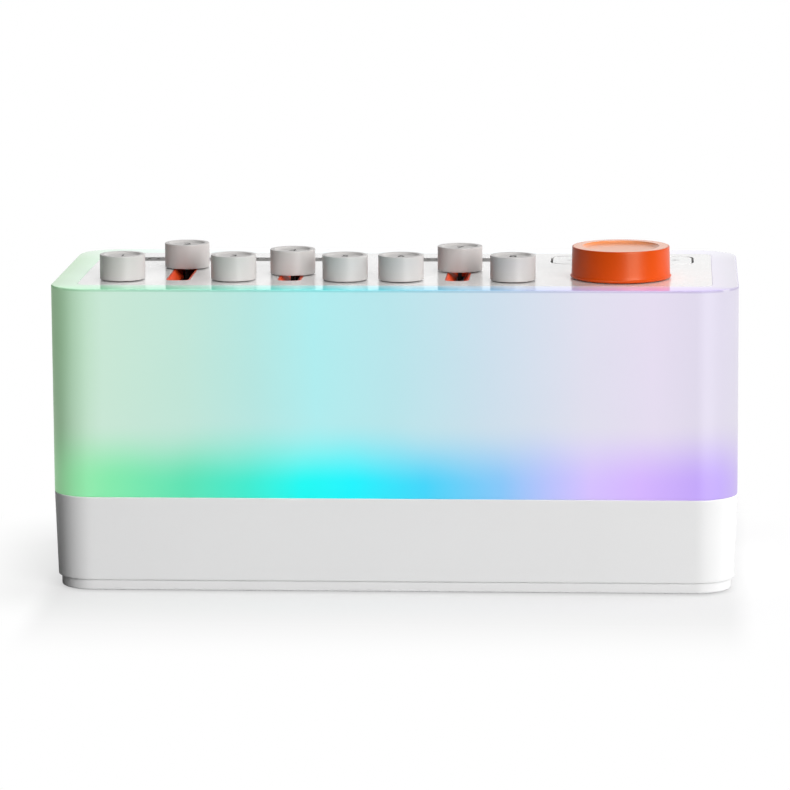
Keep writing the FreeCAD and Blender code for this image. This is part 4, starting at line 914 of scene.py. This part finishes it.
def add_floor():
    """A pale round floor. It keeps the soft shadow close to the object, and fades into the white
    surroundings further out. A strip in front of the object is darkened by painted shade. To
    other rays it is dim, so that little light comes up from it. Distances are in metres, from an
    outline 4 mm inside the object's own."""
    half_wide, half_deep = cad_high[0] - 0.004, cad_high[1] - 0.004
    material = bpy.data.materials.new("floor")
    material.use_nodes = True
    tree = Tree(material.node_tree)
    material.node_tree.nodes.remove(material.node_tree.nodes["Principled BSDF"])
    rays = tree.add("ShaderNodeLightPath").outputs
    place = tree.place()
    parts = tree.add("ShaderNodeSeparateXYZ", {0: place}).outputs
    mirrored = tree.maths("MAXIMUM", rays["Is Glossy Ray"], rays["Is Transmission Ray"])
    mirrored = tree.maths("MULTIPLY", mirrored, tree.span(parts["Y"], -0.1, 0.2, 0.05, 1.0))
    seen = tree.maths("MAXIMUM", mirrored, rays["Is Camera Ray"])
    soft = tree.span(tree.noise(place, 9.0, 2.0), 0.3, 0.7, 0.985, 1.0)
    pale = tree.add("ShaderNodeCombineColor", {0: soft, 1: soft, 2: soft}).outputs[0]
    light = tree.add("ShaderNodeBsdfDiffuse", {"Color": pale}).outputs[0]
    dim = tree.add("ShaderNodeBsdfDiffuse", {"Color": (0.1, 0.1, 0.1, 1)}).outputs[0]
    near = tree.add("ShaderNodeMixShader", {0: seen, 1: dim, 2: light}).outputs[0]
    beside = tree.maths("SUBTRACT", tree.maths("ABSOLUTE", parts["X"]), half_wide)
    before = tree.maths("SUBTRACT", tree.maths("ABSOLUTE", parts["Y"]), half_deep)
    beside, before = (tree.maths("MAXIMUM", length, 0.0) for length in (beside, before))
    away = tree.add("ShaderNodeCombineXYZ", {0: beside, 1: before})
    distance = tree.add("ShaderNodeVectorMath", {0: away.outputs[0]}, operation="LENGTH").outputs["Value"]
    # The floor's glow is lowered in a strip before the object's front: painted shade.
    along_front = tree.span(beside, 0.0, 0.01, 0.14, 0.0)
    painted_front_shade = tree.maths("MULTIPLY", along_front, tree.span(before, 0.01, 0.1, 1.0, 0.0))
    level = tree.maths("SUBTRACT", 1.0, painted_front_shade)
    glow = tree.add("ShaderNodeEmission", {"Color": (1, 1, 1, 1), "Strength": level}).outputs[0]
    share = tree.maths("MULTIPLY", tree.span(distance, 0.0, 0.05, 0.7, 1.0), seen)
    whole = tree.add("ShaderNodeMixShader", {0: share, 1: near, 2: glow}).outputs[0]
    tree.put(whole, material.node_tree.nodes["Material Output"].inputs[0])
    angle = np.linspace(0, 2 * np.pi, 64, endpoint=False)
    rim = np.column_stack([np.cos(angle), np.sin(angle), np.zeros_like(angle)]) * FLOOR_RADIUS
    mesh = bpy.data.meshes.new("floor")
    mesh.from_pydata((rim * MM).tolist(), [], [list(range(len(rim)))])
    mesh.materials.append(material)
    show("floor", mesh)


LAMP_DISTANCE = 4.0
OBJECT_MIDDLE = Vector((0, 0, 0.06))


def add_softbox(name, azimuth, elevation, side, level, mirrored=True):
    """A square lamp that faces the object. Azimuth is from the front towards the right, in
    degrees, and a white surface that faces it alone renders at the level given."""
    turn, rise = math.radians(azimuth), math.radians(elevation)
    towards = Vector((math.sin(turn) * math.cos(rise), -math.cos(turn) * math.cos(rise), math.sin(rise)))
    lamp = bpy.data.lights.new(name, "AREA")
    lamp.shape = "SQUARE"
    lamp.size = side
    lamp.energy = level * math.pi**2 * LAMP_DISTANCE**2
    holder = bpy.data.objects.new(name, lamp)
    bpy.context.scene.collection.objects.link(holder)
    holder.location = towards * LAMP_DISTANCE + OBJECT_MIDDLE
    holder.rotation_euler = towards.to_track_quat("Z", "Y").to_euler()
    holder.visible_camera = False
    holder.visible_glossy = mirrored


def add_surroundings():
    """White to the camera and, behind and above the object, to glossy rays. In front they see a
    dim room. Other rays see a low even light."""
    world = bpy.data.worlds.new("surroundings")
    bpy.context.scene.world = world
    world.use_nodes = True
    tree = Tree(world.node_tree)
    background = world.node_tree.nodes["Background"]
    rays = tree.add("ShaderNodeLightPath").outputs
    direction = tree.add("ShaderNodeTexCoord").outputs["Generated"]
    parts = tree.add("ShaderNodeSeparateXYZ", {0: direction}).outputs
    room = tree.span(parts["Y"], -0.4, 0.5, 0.06, 1.0)
    room = tree.maths("MULTIPLY", room, tree.span(parts["X"], -0.6, -0.2, 0.1, 1.0))
    room = tree.maths("MULTIPLY", room, tree.span(parts["X"], 0.3, 0.6, 1.0, 0.3))
    mirrored = tree.maths("MAXIMUM", rays["Is Glossy Ray"], rays["Is Transmission Ray"])
    low = tree.mix_value(mirrored, 0.065, room)
    strength = tree.maths("MAXIMUM", low, rays["Is Camera Ray"])
    background.inputs["Color"].default_value = (1, 1, 1, 1)
    tree.put(strength, background.inputs["Strength"])


add_floor()
add_softbox("front_right_lamp", 32, 13, 2.2, 1.01)
add_softbox("right_lamp", 110, 16, 2.6, 0.69, mirrored=False)
add_softbox("overhead_lamp", 0, 88, 3.0, 0.38)
add_softbox("rear_lamp", 165, 12, 3.0, 0.4, mirrored=False)
add_surroundings()

bpy.context.scene.view_settings.view_transform = "Standard"
